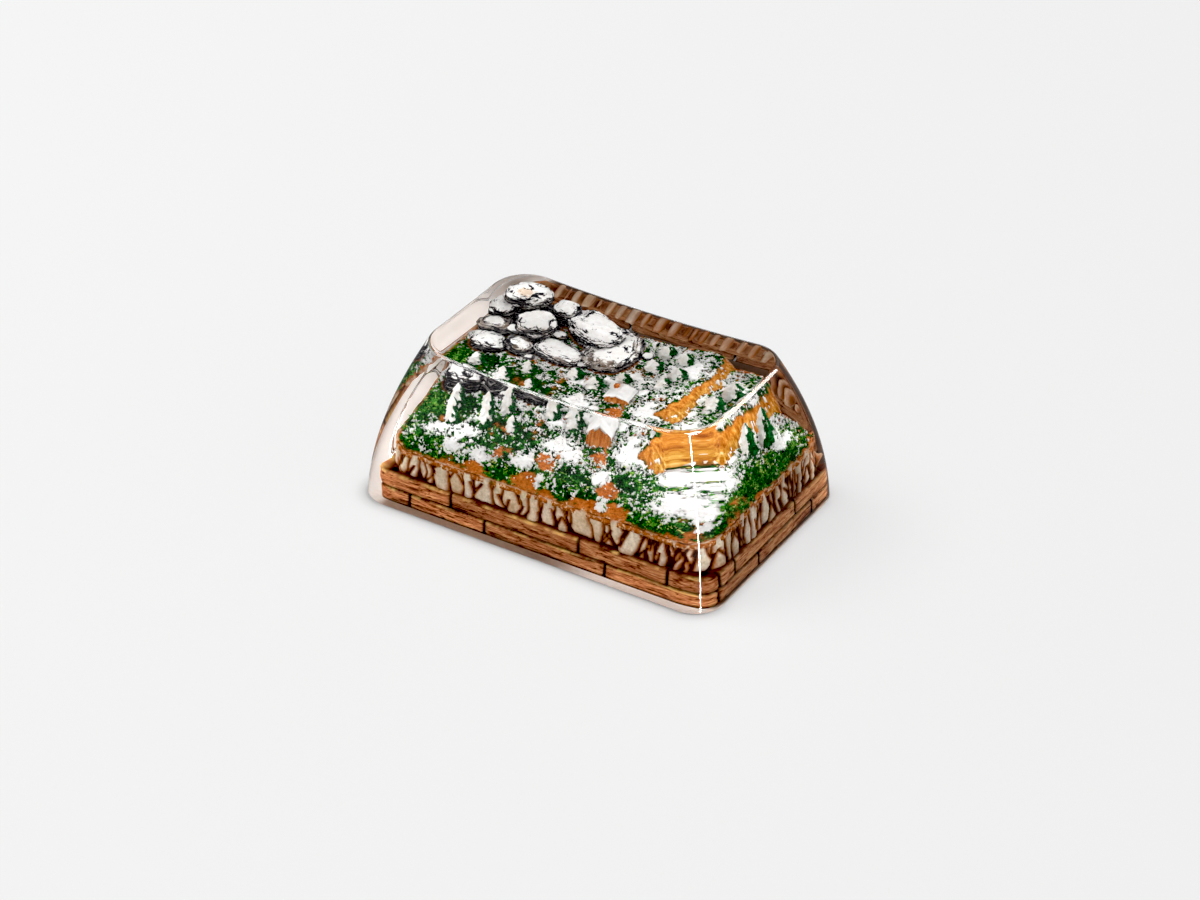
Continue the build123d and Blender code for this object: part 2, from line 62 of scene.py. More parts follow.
PEBBLES = (
    (-5.5, 3.75, 6.25, 0.6, 0.5, 0.45, 0.0, 0.0, 21),
    (-2.35, 1.75, 5.5, 0.5, 0.4, 0.36, 30.0, 0.0, 23),
    (-8.55, 2.55, 6.45, 0.55, 0.5, 0.45, 0.0, 0.0, 24),
    (-6.15, 0.75, 5.3, 0.42, 0.36, 0.3, 10.0, 0.0, 25),
    (0.95, 4.9, 5.75, 0.5, 0.42, 0.36, 0.0, 0.0, 26),
)
# snowy conifers: foot x, y, height, radius
TREES = (
    (-8.5, -3.2, 1.8, 0.46), (-8.85, -1.5, 1.7, 0.5), (-6.1, -2.35, 2.4, 0.46), (-5.2, -0.6, 1.9, 0.45),
    (-4.2, -2.1, 1.1, 0.36), (-2.1, 0.4, 1.7, 0.5), (-0.25, 0.0, 1.9, 0.6), (1.1, 1.45, 1.6, 0.5),
    (4.0, 1.9, 1.7, 0.5), (4.4, 3.15, 1.8, 0.6), (2.1, 5.7, 1.7, 0.6), (2.1, 3.8, 1.6, 0.55),
    (3.8, 5.2, 1.6, 0.55), (8.1, 1.8, 2.4, 0.58), (8.5, 3.65, 2.8, 0.6),
)
CABIN_X, CABIN_Y, CABIN_TURN = 2.0, -0.4, 7.0
CABIN_W, CABIN_D, CABIN_EAVES, CABIN_RIDGE = 1.8, 1.6, 1.05, 1.75
# patches: x, y, half size along x, half size along y
MOSS = (
    (-10.1, -6.2, 1.0, 0.8), (-8.8, -5.9, 0.85, 1.2), (-3.1, -6.2, 1.0, 0.9), (2.0, -5.6, 1.25, 1.3),
    (6.6, -4.7, 1.35, 2.0), (9.2, -6.2, 0.9, 0.5), (10.8, 1.4, 1.3, 2.4), (10.6, 5.2, 1.2, 1.1),
    (1.3, 6.0, 1.1, 0.9), (4.3, 6.6, 0.9, 0.5), (5.0, 1.7, 0.8, 0.8), (8.3, 4.75, 0.8, 1.1),
    (8.2, 1.5, 0.8, 1.0), (-0.1, 1.2, 0.9, 0.6), (3.3, 0.3, 0.7, 0.65), (-10.5, -1.8, 0.9, 0.8),
    (-8.8, -0.8, 1.2, 0.6), (-4.2, -0.5, 1.0, 0.75), (-1.5, -3.1, 0.9, 0.7), (-10.9, -4.0, 0.6, 1.2),
    (-6.0, -4.6, 0.8, 0.8), (2.6, 4.9, 0.7, 0.8), (5.4, -2.9, 0.8, 0.8), (3.0, 2.0, 0.7, 0.6),
)
SNOW = (
    (-9.1, -4.4, 1.1, 0.65), (-7.4, -5.7, 0.7, 0.8), (-5.2, -5.8, 1.05, 0.8), (-7.1, -3.8, 1.0, 0.85),
    (-2.0, -4.9, 1.0, 1.05), (-0.15, -6.3, 0.35, 0.8), (-0.36, -2.2, 1.0, 1.0), (0.95, -2.7, 0.8, 0.8),
    (3.5, -4.2, 0.55, 1.0), (4.4, -6.6, 0.5, 0.9), (4.5, -1.4, 0.85, 1.2), (9.1, -4.2, 1.3, 1.6),
    (10.2, -4.4, 0.6, 1.0), (8.9, -1.5, 0.9, 0.9), (9.6, 4.6, 0.9, 1.0), (7.9, -1.2, 0.6, 0.8),
    (7.7, -1.8, 0.8, 0.8), (4.8, 4.3, 0.8, 1.2), (3.4, 3.1, 0.45, 0.6), (6.9, 4.7, 0.7, 0.6),
    (1.0, 0.85, 0.65, 0.5), (-7.0, -2.0, 0.95, 0.75), (-9.0, -1.5, 0.65, 0.6), (-5.5, -1.1, 0.55, 0.5),
    (1.5, 2.4, 0.5, 0.5), (2.9, 5.8, 0.45, 0.5), (-3.0, -1.6, 0.6, 0.5),
    (-1.45, -0.15, 0.4, 0.45), (0.4, 1.0, 0.5, 0.4), (5.3, 3.6, 0.5, 0.6),
    (3.7, 4.3, 0.5, 0.5), (3.1, 0.4, 0.5, 0.4), (4.1, 5.2, 0.5, 0.5), (-2.4, -1.1, 0.45, 0.4),
    (-4.0, -1.1, 0.45, 0.35), (1.1, 2.4, 0.6, 0.4), (6.4, -1.0, 0.55, 0.4), (7.1, 0.2, 0.5, 0.6),
    (8.2, 2.9, 0.9, 0.3), (6.6, 5.2, 0.4, 0.6), (8.4, -5.1, 0.8, 0.6), (11.2, -5.4, 0.5, 0.8),
)
SOIL = (
    (-4.85, -6.95, 0.9, 0.45), (-4.0, -4.8, 0.45, 0.6), (-0.75, -4.3, 0.7, 0.8), (-1.0, -6.6, 0.8, 0.7),
    (2.8, -2.2, 0.45, 0.6), (4.55, -5.0, 0.8, 0.95), (6.1, -6.7, 0.9, 0.6), (-5.7, 0.3, 0.3, 0.3), (3.4, -6.9, 0.8, 0.5), (0.6, -6.9, 0.6, 0.4),
)


# ------------------------------------------------------------------ noise
def _hash(ix, iy, iz, seed):
    n = (ix.astype(np.int64) * 73856093) ^ (iy.astype(np.int64) * 19349663) ^ (iz.astype(np.int64) * 83492791) ^ (seed * 265443577)
    n &= 0x7FFFFFFF
    n = ((n ^ (n >> 13)) * 1274126177) & 0x7FFFFFFF
    n = ((n ^ (n >> 15)) * 668265263) & 0x7FFFFFFF
    n ^= n >> 16
    return (n & 0xFFFFF) / float(0xFFFFF)


def noise(x, y, z=0.0, seed=0):
    """Smooth value noise from -1 to 1."""
    x, y, z = np.broadcast_arrays(np.asarray(x, float), np.asarray(y, float), np.asarray(z, float))
    ix, iy, iz = np.floor(x), np.floor(y), np.floor(z)
    fx, fy, fz = x - ix, y - iy, z - iz
    fx, fy, fz = (f * f * f * (f * (f * 6 - 15) + 10) for f in (fx, fy, fz))
    out = 0.0
    for a in (0, 1):
        wa = fx if a else 1 - fx
        for b in (0, 1):
            wb = fy if b else 1 - fy
            for c in (0, 1):
                wc = fz if c else 1 - fz
                out = out + wa * wb * wc * _hash(ix + a, iy + b, iz + c, seed)
    return out * 2 - 1


def fbm(x, y, z=0.0, seed=0, octaves=4):
    out, amp, tot = 0.0, 1.0, 0.0
    for k in range(octaves):
        f = 2.03 ** k
        out = out + amp * noise(np.asarray(x) * f, np.asarray(y) * f, np.asarray(z) * f, seed + 17 * k)
        tot += amp
        amp *= 0.5
    return out / tot


def cells(u, v, seed=0, period=0, jitter=0.8):
    """Nearest and second nearest feature point of a jittered grid, and the nearest one's number."""
    u, v = np.asarray(u, float), np.asarray(v, float)
    iu, iv = np.floor(u), np.floor(v)
    f1 = np.full(u.shape, 9.0)
    f2 = np.full(u.shape, 9.0)
    num = np.zeros(u.shape)
    zero = np.zeros(u.shape)
    for du in (-1, 0, 1):
        for dv in (-1, 0, 1):
            cu, cv = iu + du, iv + dv
            hu = np.mod(cu, period) if period else cu
            px = cu + 0.5 + jitter * (_hash(hu, cv, zero, seed) - 0.5)
            py = cv + 0.5 + jitter * (_hash(hu, cv, zero + 3, seed) - 0.5)
            d = np.hypot(u - px, v - py)
            name = _hash(hu, cv, zero + 7, seed)
            nearer = d < f1
            f2 = np.where(nearer, f1, np.minimum(f2, d))
            num = np.where(nearer, name, num)
            f1 = np.where(nearer, d, f1)
    return f1, f2, num


def sst(a, b, x):
    t = np.clip((np.asarray(x, float) - a) / (b - a), 0, 1)
    return t * t * (3 - 2 * t)


# ------------------------------------------------------------------ ground
def ground(x, y):
    x, y = np.asarray(x, float), np.asarray(y, float)
    e = np.maximum(y - CY0, 0)
    meadow = 4.05 + 0.012 * x + 0.62 * (1 - np.exp(-e / 1.1)) + 0.066 * e
    wy = sst(-2.0, -0.6, y)
    lip = 5.0 + 0.75 * wy + 0.06 * np.clip(y, 0, 4.5) - 0.25 * np.maximum(y - 4.5, 0)
    foot = lip + 1.55 + 0.65 * (1 - wy)
    plateau = meadow + 0.95 * wy * np.exp(-(((x - 5.4) / 2.6) ** 2))
    terrace = 4.30 + 0.40 * (1 - np.exp(-e / 0.7)) + 0.01 * y
    h = terrace + (plateau - terrace) * (1 - sst(lip, foot, x))
    heap = 2.0 * np.exp(-(((x + 8.6) / 2.9) ** 2) - (((y - 5.0) / 2.2) ** 2))
    d = np.minimum(np.minimum(x - CX0, CX1 - x), CY1 - y)
    return h + heap - 0.22 * np.exp(-np.maximum(d, 0) / 0.4)


def bank_depth(x, y):
    """0 at the lip of the step between the plateau and the low terrace, 1 at its foot."""
    wy = sst(-2.0, -0.6, y)
    lip = 5.0 + 0.75 * wy + 0.06 * np.clip(y, 0, 4.5) - 0.25 * np.maximum(y - 4.5, 0)
    foot = lip + 1.55 + 0.65 * (1 - wy)
    return (x - lip) / (foot - lip) + 0.16 * fbm(x * 1.6, y * 1.6, seed=33) + 0.20 * noise(x * 0.45, y * 0.45, seed=35)


def bank(x, y):
    """1 on the steep face."""
    m = bank_depth(x, y)
    wide = 0.16 * noise(x * 0.5 + 7, y * 0.5, seed=37) - 0.10 * sst(0.5, 4.0, y)
    lift = -0.42 * sst(2.2, -0.6, y)
    return sst(0.12 + lift, 0.26 + lift, m) * (1 - sst(0.62 + wide, 0.78 + wide, m)) * sst(-1.6, -1.0, y)


def edge_distance(x, y):
    """Distance inside the stone band's outline, negative outside."""
    mx, my = (CX0 + CX1) / 2, (CY0 + CY1) / 2
    qx = np.abs(x - mx) - ((CX1 - CX0) / 2 - CR)
    qy = np.abs(y - my) - ((CY1 - CY0) / 2 - CR)
    return -(np.hypot(np.maximum(qx, 0), np.maximum(qy, 0)) + np.minimum(np.maximum(qx, qy), 0) - CR)


def soil(x, y):
    g = ground(x, y) + 0.16 * bank(x, y) * fbm(x * 2.0, y * 2.0, seed=7)
    return g + 0.07 * fbm(x * 0.9, y * 0.9, seed=3) + 0.035 * fbm(x * 3.1, y * 3.1, seed=5) + 0.02 * noise(x * 9, y * 9, seed=9)


def blob(patches, x, y, wob=0.28, seed=0):
    """Largest of the patches' soft masks, with ragged borders: 1 in the middle, 0 on the border, negative outside."""
    wx = wob * fbm(x * 0.9, y * 0.9, seed=40 + seed)
    wy = wob * fbm(x * 0.9, y * 0.9, seed=60 + seed)
    best = np.full(np.shape(x), -9.0)
    for px, py, rx, ry in patches:
        q = np.sqrt(((x + wx - px) / rx) ** 2 + ((y + wy - py) / ry) ** 2)
        best = np.maximum(best, 1 - q)
    return best


def rock_near(x, y):
    """1 where boulders stand."""
    best = np.zeros(np.shape(x))
    for d in BOULDERS.values():
        a = math.radians(d[6])
        u, w = (x - d[0]) * math.cos(a) + (y - d[1]) * math.sin(a), (y - d[1]) * math.cos(a) - (x - d[0]) * math.sin(a)
        q = np.sqrt((u / (d[3] + 0.05)) ** 2 + (w / (d[4] + 0.05)) ** 2)
        best = np.maximum(best, 1 - sst(0.95, 1.15, q))
    heap = np.exp(-(((x + 8.3) / 2.6) ** 2) - (((y - 4.6) / 2.2) ** 2))
    return np.maximum(best, sst(0.30, 0.5, heap))


def moss_amount(x, y):
    m = 0.52 + 0.6 * blob(MOSS, x, y, seed=1).clip(-0.4, 1) + 0.40 * fbm(x * 0.9, y * 0.9, seed=71) + 0.30 * fbm(x * 2.6, y * 2.6, seed=73)
    m = m - 1.3 * sst(-0.28, 0.12, blob(SOIL, x, y, wob=0.6, seed=3) + 0.35 * fbm(x * 2.4, y * 2.4, seed=79)) - (1.15 + 0.5 * noise(x * 1.7, y * 1.7, seed=75)) * bank(x, y)
    m = m - 1.5 * (1 - sst(-0.02, 0.24, edge_distance(x, y) + 0.60 * fbm(x * 1.1, y * 1.1, seed=77) + 0.05))
    return m - 2.0 * rock_near(x, y)


def snow_amount(x, y):
    far = -0.30 + 0.30 * noise(x * 0.55, y * 0.55, seed=87) + 0.27 * sst(-1.5, 1.0, y) - 0.35 * sst(8.5, 10.0, x)
    s = np.maximum(0.06 + 1.05 * blob(SNOW, x, y, wob=0.5, seed=2).clip(-0.9, 0.8), far)
    spiky = 1 - 2 * np.abs(noise(x * 2.7, y * 2.7, seed=84))
    s = s + 0.26 * noise(x * 1.9, y * 1.9, seed=81) + 0.34 * noise(x * 4.3, y * 4.3, seed=83) + 0.46 * noise(x * 8.1, y * 8.1, seed=85) + 0.22 * (spiky - 0.35)
    s = s - 0.30 * sst(-0.2, 0.3, blob(SOIL, x, y, seed=3)) - (0.6 + 0.4 * noise(x * 1.2, y * 1.2, seed=88)) * bank(x, y)
    s = s - 0.75 * np.exp(-((y + 1.9) / 1.15) ** 2) * sst(-1.2, -2.6, x) * 1.15
    s = s - 0.9 * (1 - sst(0.1, 0.45, edge_distance(x, y) + 0.3 * noise(x * 0.8, y * 0.8, seed=89)))
    return s - 2.0 * rock_near(x, y)


# ------------------------------------------------------------------ mesh helpers
def add_piece(name, verts, faces, mats, index=None, smooth=True, attrs=None):
    me = bpy.data.meshes.new(name)
    me.from_pydata((np.asarray(verts, float) * 0.001).tolist(), [], faces)
    for m in mats:
        me.materials.append(m)
    if index is not None:
        me.polygons.foreach_set("material_index", np.asarray(index, np.int32))
    me.polygons.foreach_set("use_smooth", np.full(len(me.polygons), bool(smooth)))
    for key, val in (attrs or {}).items():
        a = me.attributes.new(key, "FLOAT", "POINT")
        a.data.foreach_set("value", np.asarray(val, np.float32))
    me.validate()
    me.update()
    ob = bpy.data.objects.new(name, me)
    bpy.context.scene.collection.objects.link(ob)
    return ob


class Bag:
    """Collects several closed shapes into one mesh."""

    def __init__(self, keys=()):
        self.v, self.f, self.m, self.n = [], [], [], 0
        self.a = {k: [] for k in keys}

    def add(self, v, f, mat=0, **attrs):
        v = np.asarray(v, float)
        self.v.append(v)
        self.f += [tuple(int(k) + self.n for k in q) for q in f]
        self.m += [mat] * len(f)
        for k in self.a:
            val = attrs.get(k, 0.0)
            self.a[k].append(np.broadcast_to(np.asarray(val, float), (len(v),)))
        self.n += len(v)

    def piece(self, name, mats, smooth=True):
        return add_piece(name, np.vstack(self.v), self.f, mats, self.m, smooth,
                         {k: np.concatenate(x) for k, x in self.a.items()})


def strip_faces(rows, cols, wrap=True):
    """Quads between rows of equal length."""
    out = []
    last = cols if wrap else cols - 1
    for r in range(rows - 1):
        for c in range(last):
            d = (c + 1) % cols
            out.append((r * cols + c, r * cols + d, (r + 1) * cols + d, (r + 1) * cols + c))
    return out


class Track:
    """Walk round a rounded rectangle, starting where the front side leaves the front-left corner."""

    def __init__(self, x0, x1, y0, y1, r):
        self.b = (x0, x1, y0, y1, r)
        self.lx, self.ly, self.arc = x1 - x0 - 2 * r, y1 - y0 - 2 * r, r * math.pi / 2
        self.length = 2 * self.lx + 2 * self.ly + 4 * self.arc

    def at(self, s):
        x0, x1, y0, y1, r = self.b
        s = np.mod(np.asarray(s, float), self.length)
        x, y, nx, ny = (np.zeros(s.shape) for _ in range(4))
        k = 0.0
        legs = (("l", x0 + r, y0, 1, 0, 0, -1, self.lx), ("a", x1 - r, y0 + r, -90, 0, 0, 0, self.arc),
                ("l", x1, y0 + r, 0, 1, 1, 0, self.ly), ("a", x1 - r, y1 - r, 0, 0, 0, 0, self.arc),
                ("l", x1 - r, y1, -1, 0, 0, 1, self.lx), ("a", x0 + r, y1 - r, 90, 0, 0, 0, self.arc),
                ("l", x0, y1 - r, 0, -1, -1, 0, self.ly), ("a", x0 + r, y0 + r, 180, 0, 0, 0, self.arc))
        for kind, ax, ay, p, q, ex, ey, length in legs:
            m = (s >= k) & (s < k + length + 1e-9)
            t = s[m] - k
            if kind == "l":
                x[m], y[m], nx[m], ny[m] = ax + p * t, ay + q * t, ex, ey
            else:
                a = np.radians(p + t / length * 90)
                nx[m], ny[m] = np.cos(a), np.sin(a)
                x[m], y[m] = ax + r * np.cos(a), ay + r * np.sin(a)
            k += length
        return x, y, nx, ny

    def front(self, x):
        return x - (self.b[0] + self.b[4])

    def right(self, y):
        return self.lx + self.arc + y - (self.b[2] + self.b[4])

    def back(self, x):
        return self.lx + 2 * self.arc + self.ly + (self.b[1] - self.b[4]) - x

    def left(self, y):
        return 2 * self.lx + 3 * self.arc + self.ly + (self.b[3] - self.b[4]) - y


# ------------------------------------------------------------------ materials
class Nodes:
    def __init__(self, name):
        self.mat = bpy.data.materials.new(name)
        self.mat.use_nodes = True
        self.t = self.mat.node_tree
        self.out = self.t.nodes["Material Output"]
        self.bsdf = self.t.nodes["Principled BSDF"]

    def new(self, kind, **props):
        n = self.t.nodes.new(kind)
        for k, v in props.items():
            setattr(n, k, v)
        return n

    def link(self, a, b):
        self.t.links.new(a, b)

    def position(self, scale=(1000.0, 1000.0, 1000.0)):
        """Object coordinates in millimetres times scale / 1000."""
        tc = self.new("ShaderNodeTexCoord")
        mp = self.new("ShaderNodeMapping")
        mp.inputs["Scale"].default_value = scale
        self.link(tc.outputs["Object"], mp.inputs["Vector"])
        return mp.outputs["Vector"]

    def noise(self, vec, scale, detail=4.0, rough=0.55, distortion=0.0):
        n = self.new("ShaderNodeTexNoise")
        n.inputs["Scale"].default_value = scale
        n.inputs["Detail"].default_value = detail
        n.inputs["Roughness"].default_value = rough
        n.inputs["Distortion"].default_value = distortion
        self.link(vec, n.inputs["Vector"])
        return n.outputs["Fac"]

    def ramp(self, fac, stops, interp="LINEAR"):
        n = self.new("ShaderNodeValToRGB")
        n.color_ramp.interpolation = interp
        el = n.color_ramp.elements
        while len(el) < len(stops):
            el.new(0.5)
        for e, (p, c) in zip(el, stops):
            e.position = p
            e.color = (c[0], c[1], c[2], 1.0) if not np.isscalar(c) else (c, c, c, 1.0)
        self.link(fac, n.inputs["Fac"])
        return n.outputs["Color"]

    def attr(self, name):
        n = self.new("ShaderNodeAttribute")
        n.attribute_name = name
        return n.outputs["Fac"]

    def mix(self, fac, a, b, blend="MIX"):
        n = self.new("ShaderNodeMix", data_type="RGBA", blend_type=blend)
        for sock, val in ((n.inputs[0], fac), (n.inputs[6], a), (n.inputs[7], b)):
            if hasattr(val, "links"):
                self.link(val, sock)
            elif np.isscalar(val):
                sock.default_value = val
            else:
                sock.default_value = (val[0], val[1], val[2], 1.0)
        return n.outputs[2]

    def math(self, op, a, b=0.0, clamp=False):
        n = self.new("ShaderNodeMath", operation=op, use_clamp=clamp)
        for sock, val in ((n.inputs[0], a), (n.inputs[1], b)):
            if hasattr(val, "links"):
                self.link(val, sock)
            else:
                sock.default_value = val
        return n.outputs[0]

    def bump(self, height, strength, distance):
        n = self.new("ShaderNodeBump")
        n.inputs["Strength"].default_value = strength
        n.inputs["Distance"].default_value = distance
        self.link(height, n.inputs["Height"])
        self.link(n.outputs["Normal"], self.bsdf.inputs["Normal"])

    def color(self, sock):
        self.link(sock, self.bsdf.inputs["Base Color"])

    def matt(self, rough=0.85, spec=0.0):
        self.bsdf.inputs["Roughness"].default_value = rough
        self.bsdf.inputs["Specular IOR Level"].default_value = spec


def lin(r, g, b):
    """sRGB 0-255 to linear."""
    out = []
    for c in (r, g, b):
        c = c / 255.0
        out.append(c / 12.92 if c <= 0.04045 else ((c + 0.055) / 1.055) ** 2.4)
    return tuple(out)


def ink(r, g, b, gain=1.4):
    """Albedo of a paint that shows as this sRGB colour when it is cast in clear resin, which darkens and deepens it."""
    out = []
    for c in lin(r, g, b):
        c = c / gain
        out.append(min(c / (0.364 + 0.6 * c), 0.93))
    return tuple(out)


def wall(r, g, b):
    """The same for upright faces, which get less light."""
    return ink(r, g, b, 1.15)


def plank(r, g, b):
    return ink(r, g, b, 1.25)


def resin_material():
    """Clear cast resin: a body that bends light and a polished skin that mirrors it, shared out by Fresnel."""
    n = Nodes("clear_resin")
    n.t.nodes.remove(n.bsdf)
    vec = n.position()
    polish = n.ramp(n.noise(vec, 0.8, 2.0), [(0.3, 0.004), (0.7, 0.012)])
    body = n.new("ShaderNodeBsdfRefraction")
    body.inputs["Color"].default_value = (1.0, 1.0, 1.0, 1.0)
    body.inputs["IOR"].default_value = 1.5
    n.link(polish, body.inputs["Roughness"])
    skin = n.new("ShaderNodeBsdfAnisotropic")
    skin.inputs["Color"].default_value = (1.0, 1.0, 1.0, 1.0)
    n.link(polish, skin.inputs["Roughness"])
    share = n.new("ShaderNodeFresnel")
    share.inputs["IOR"].default_value = 1.5
    both = n.new("ShaderNodeMixShader")
    n.link(share.outputs[0], both.inputs[0])
    n.link(body.outputs[0], both.inputs[1])
    n.link(skin.outputs[0], both.inputs[2])
    n.link(both.outputs[0], n.out.inputs["Surface"])
    return n.mat


def frosted_material():
    n = Nodes("sanded_rim_painted_glow")
    b = n.bsdf
    b.inputs["Transmission Weight"].default_value = 0.12
    b.inputs["IOR"].default_value = 1.5
    vec = n.position()
    # painted light: 'pale' takes the rim from brown to white by place, and where it is high the rim glows by emission
    # though it is no lamp
    pale = n.attr("pale")
    tone = n.ramp(pale, [(0.0, lin(116, 82, 58)), (0.2, lin(164, 134, 110)), (0.5, lin(204, 188, 170)), (0.85, lin(250, 248, 245))])
    mott = n.ramp(n.noise(vec, 2.5, 5.0, 0.6), [(0.3, 0.8), (0.7, 1.0)])
    n.color(n.mix(1.0, tone, mott, "MULTIPLY"))
    b.inputs["Emission Color"].default_value = (1.0, 0.955, 0.905, 1.0)
    n.link(n.ramp(pale, [(0.55, 0.0), (1.0, 0.61)]), b.inputs["Emission Strength"])
    n.link(n.ramp(n.noise(vec, 1.2, 3.0), [(0.3, 0.5), (0.7, 0.7)]), b.inputs["Roughness"])
    n.bump(n.noise(vec, 14.0, 3.0), 0.3, 0.00003)
    return n.mat


def plank_material():
    n = Nodes("painted_planks")
    n.matt(0.8)
    vec = n.position()
    com = n.new("ShaderNodeCombineXYZ")
    n.link(n.math("MULTIPLY", n.attr("run"), 0.9), com.inputs[0])
    n.link(n.math("MULTIPLY", n.attr("rise"), 11.0), com.inputs[1])
    fibre = n.noise(com.outputs[0], 1.0, 6.0, 0.68, 0.5)
    hair = n.new("ShaderNodeCombineXYZ")
    n.link(n.math("MULTIPLY", n.attr("run"), 2.6), hair.inputs[0])
    n.link(n.math("MULTIPLY", n.attr("rise"), 26.0), hair.inputs[1])
    thin = n.noise(hair.outputs[0], 1.0, 4.0, 0.65, 0.4)
    both = n.math("ADD", n.math("MULTIPLY", n.math("SUBTRACT", fibre, 0.5), 1.9), n.math("MULTIPLY", n.math("SUBTRACT", thin, 0.5), 1.2))
    grain = n.math("ADD", n.attr("grain"), both, True)
    body = n.ramp(grain, [(0.0, plank(44, 20, 10)), (0.25, plank(90, 42, 25)), (0.52, plank(150, 84, 53)), (0.78, plank(194, 118, 74)), (1.0, plank(230, 160, 104))])
    warm = n.ramp(n.attr("tone"), [(0.0, (0.76, 0.72, 0.68)), (0.5, (1.0, 1.0, 1.0)), (1.0, (1.12, 1.08, 1.02))])
    c = n.mix(1.0, body, warm, "MULTIPLY")
    # the top edges are lightened: dry-brushed paint and a painted highlight, weaker on the right and absent at the back
    edge = n.math("MULTIPLY", n.attr("edge"), n.ramp(n.noise(vec, 1.6, 4.0), [(0.35, 0.2), (0.52, 1.0)]))
    c = n.mix(edge, c, plank(240, 168, 88))
    # painted shade on the boards' top face, under the stones' overhang
    c = n.mix(n.attr("ledge"), c, plank(92, 42, 14))
    # dark joints at the board ends, and painted shade under each board and along the back side
    c = n.mix(n.attr("dark"), c, plank(20, 8, 3))
    n.color(c)
    return n.mat


def stone_material():
    n = Nodes("painted_stone_band")
    n.matt(0.9)
    vec = n.position()
    pale = n.ramp(n.noise(vec, 1.3, 5.0, 0.6), [(0.28, wall(154, 130, 102)), (0.5, wall(200, 180, 152)), (0.72, wall(226, 214, 192))])
    tint = n.ramp(n.attr("tone"), [(0.0, (0.86, 0.75, 0.62)), (0.55, (1.0, 1.0, 1.0)), (0.82, (1.0, 1.0, 0.92)), (1.0, (0.97, 0.98, 0.68))])
    c = n.mix(1.0, pale, tint, "MULTIPLY")
    speck = n.ramp(n.noise(vec, 6.0, 3.0), [(0.3, 0.78), (0.62, 1.06)])
    c = n.mix(1.0, c, speck, "MULTIPLY")
    # this mask carries the brown crevice wash and painted shade at the stones' feet and over the back stones
    wash = n.math("ADD", n.attr("wash"), n.math("MULTIPLY", n.math("SUBTRACT", n.noise(vec, 4.0, 4.0), 0.5), 0.3))
    c = n.mix(n.ramp(wash, [(0.10, 0.0), (0.50, 0.96)]), c, wall(126, 62, 24))
    c = n.mix(n.ramp(wash, [(0.52, 0.0), (0.90, 1.0)]), c, wall(36, 15, 6))
    n.color(c)
    return n.mat


def soil_material():
    n = Nodes("painted_soil")
    n.matt(0.95)
    vec = n.position()
    base = n.ramp(n.noise(vec, 2.2, 6.0, 0.65), [(0.25, ink(120, 50, 16)), (0.48, ink(168, 80, 32)), (0.72, ink(200, 108, 50))])
    grit = n.ramp(n.noise(vec, 6.0, 5.0, 0.75), [(0.36, 0.42), (0.5, 0.95), (0.66, 1.25)])
    c = n.mix(1.0, base, grit, "MULTIPLY")
    # the gold bank: its vertical streaks stand for painted reflections and its near-white stops are painted highlights
    streak = n.noise(n.position((3400, 3400, 620)), 1.0, 6.0, 0.7)
    upper = n.ramp(streak, [(0.34, ink(110, 46, 10)), (0.48, ink(172, 90, 28)), (0.60, ink(212, 128, 50)), (0.70, ink(244, 224, 184))])
    lower = n.ramp(streak, [(0.34, ink(100, 48, 8)), (0.44, ink(148, 84, 22)), (0.53, ink(184, 120, 44)), (0.61, ink(212, 154, 76)), (0.70, ink(246, 220, 172))])
    c = n.mix(n.attr("bank"), c, n.mix(n.attr("low"), upper, lower))
    rim = n.ramp(n.noise(vec, 4.5, 5.0, 0.7), [(0.44, ink(128, 60, 20)), (0.54, ink(184, 104, 48)), (0.60, ink(232, 200, 150)), (0.68, ink(252, 242, 214))])
    c = n.mix(n.attr("rim"), c, rim)
    c = n.mix(n.attr("under"), c, n.ramp(n.noise(vec, 4.0, 4.0), [(0.3, ink(3, 26, 8)), (0.7, ink(14, 66, 20))]))
    c = n.mix(n.attr("rock"), c, n.ramp(n.noise(vec, 5.0, 5.0, 0.7), [(0.44, ink(8, 8, 10)), (0.56, ink(40, 38, 42)), (0.66, ink(150, 144, 140))]))
    n.color(c)
    return n.mat


def hollow_material():
    n = Nodes("moulded_underside")
    n.matt(0.5, 0.35)
    vec = n.position()
    n.color(n.ramp(n.noise(vec, 0.9, 6.0, 0.6), [(0.3, lin(74, 42, 24)), (0.7, lin(104, 62, 36))]))
    n.link(n.ramp(n.noise(vec, 5.0, 4.0), [(0.3, 0.42), (0.7, 0.62)]), n.bsdf.inputs["Roughness"])
    n.bump(n.noise(vec, 12.0, 4.0), 0.25, 0.00004)
    return n.mat


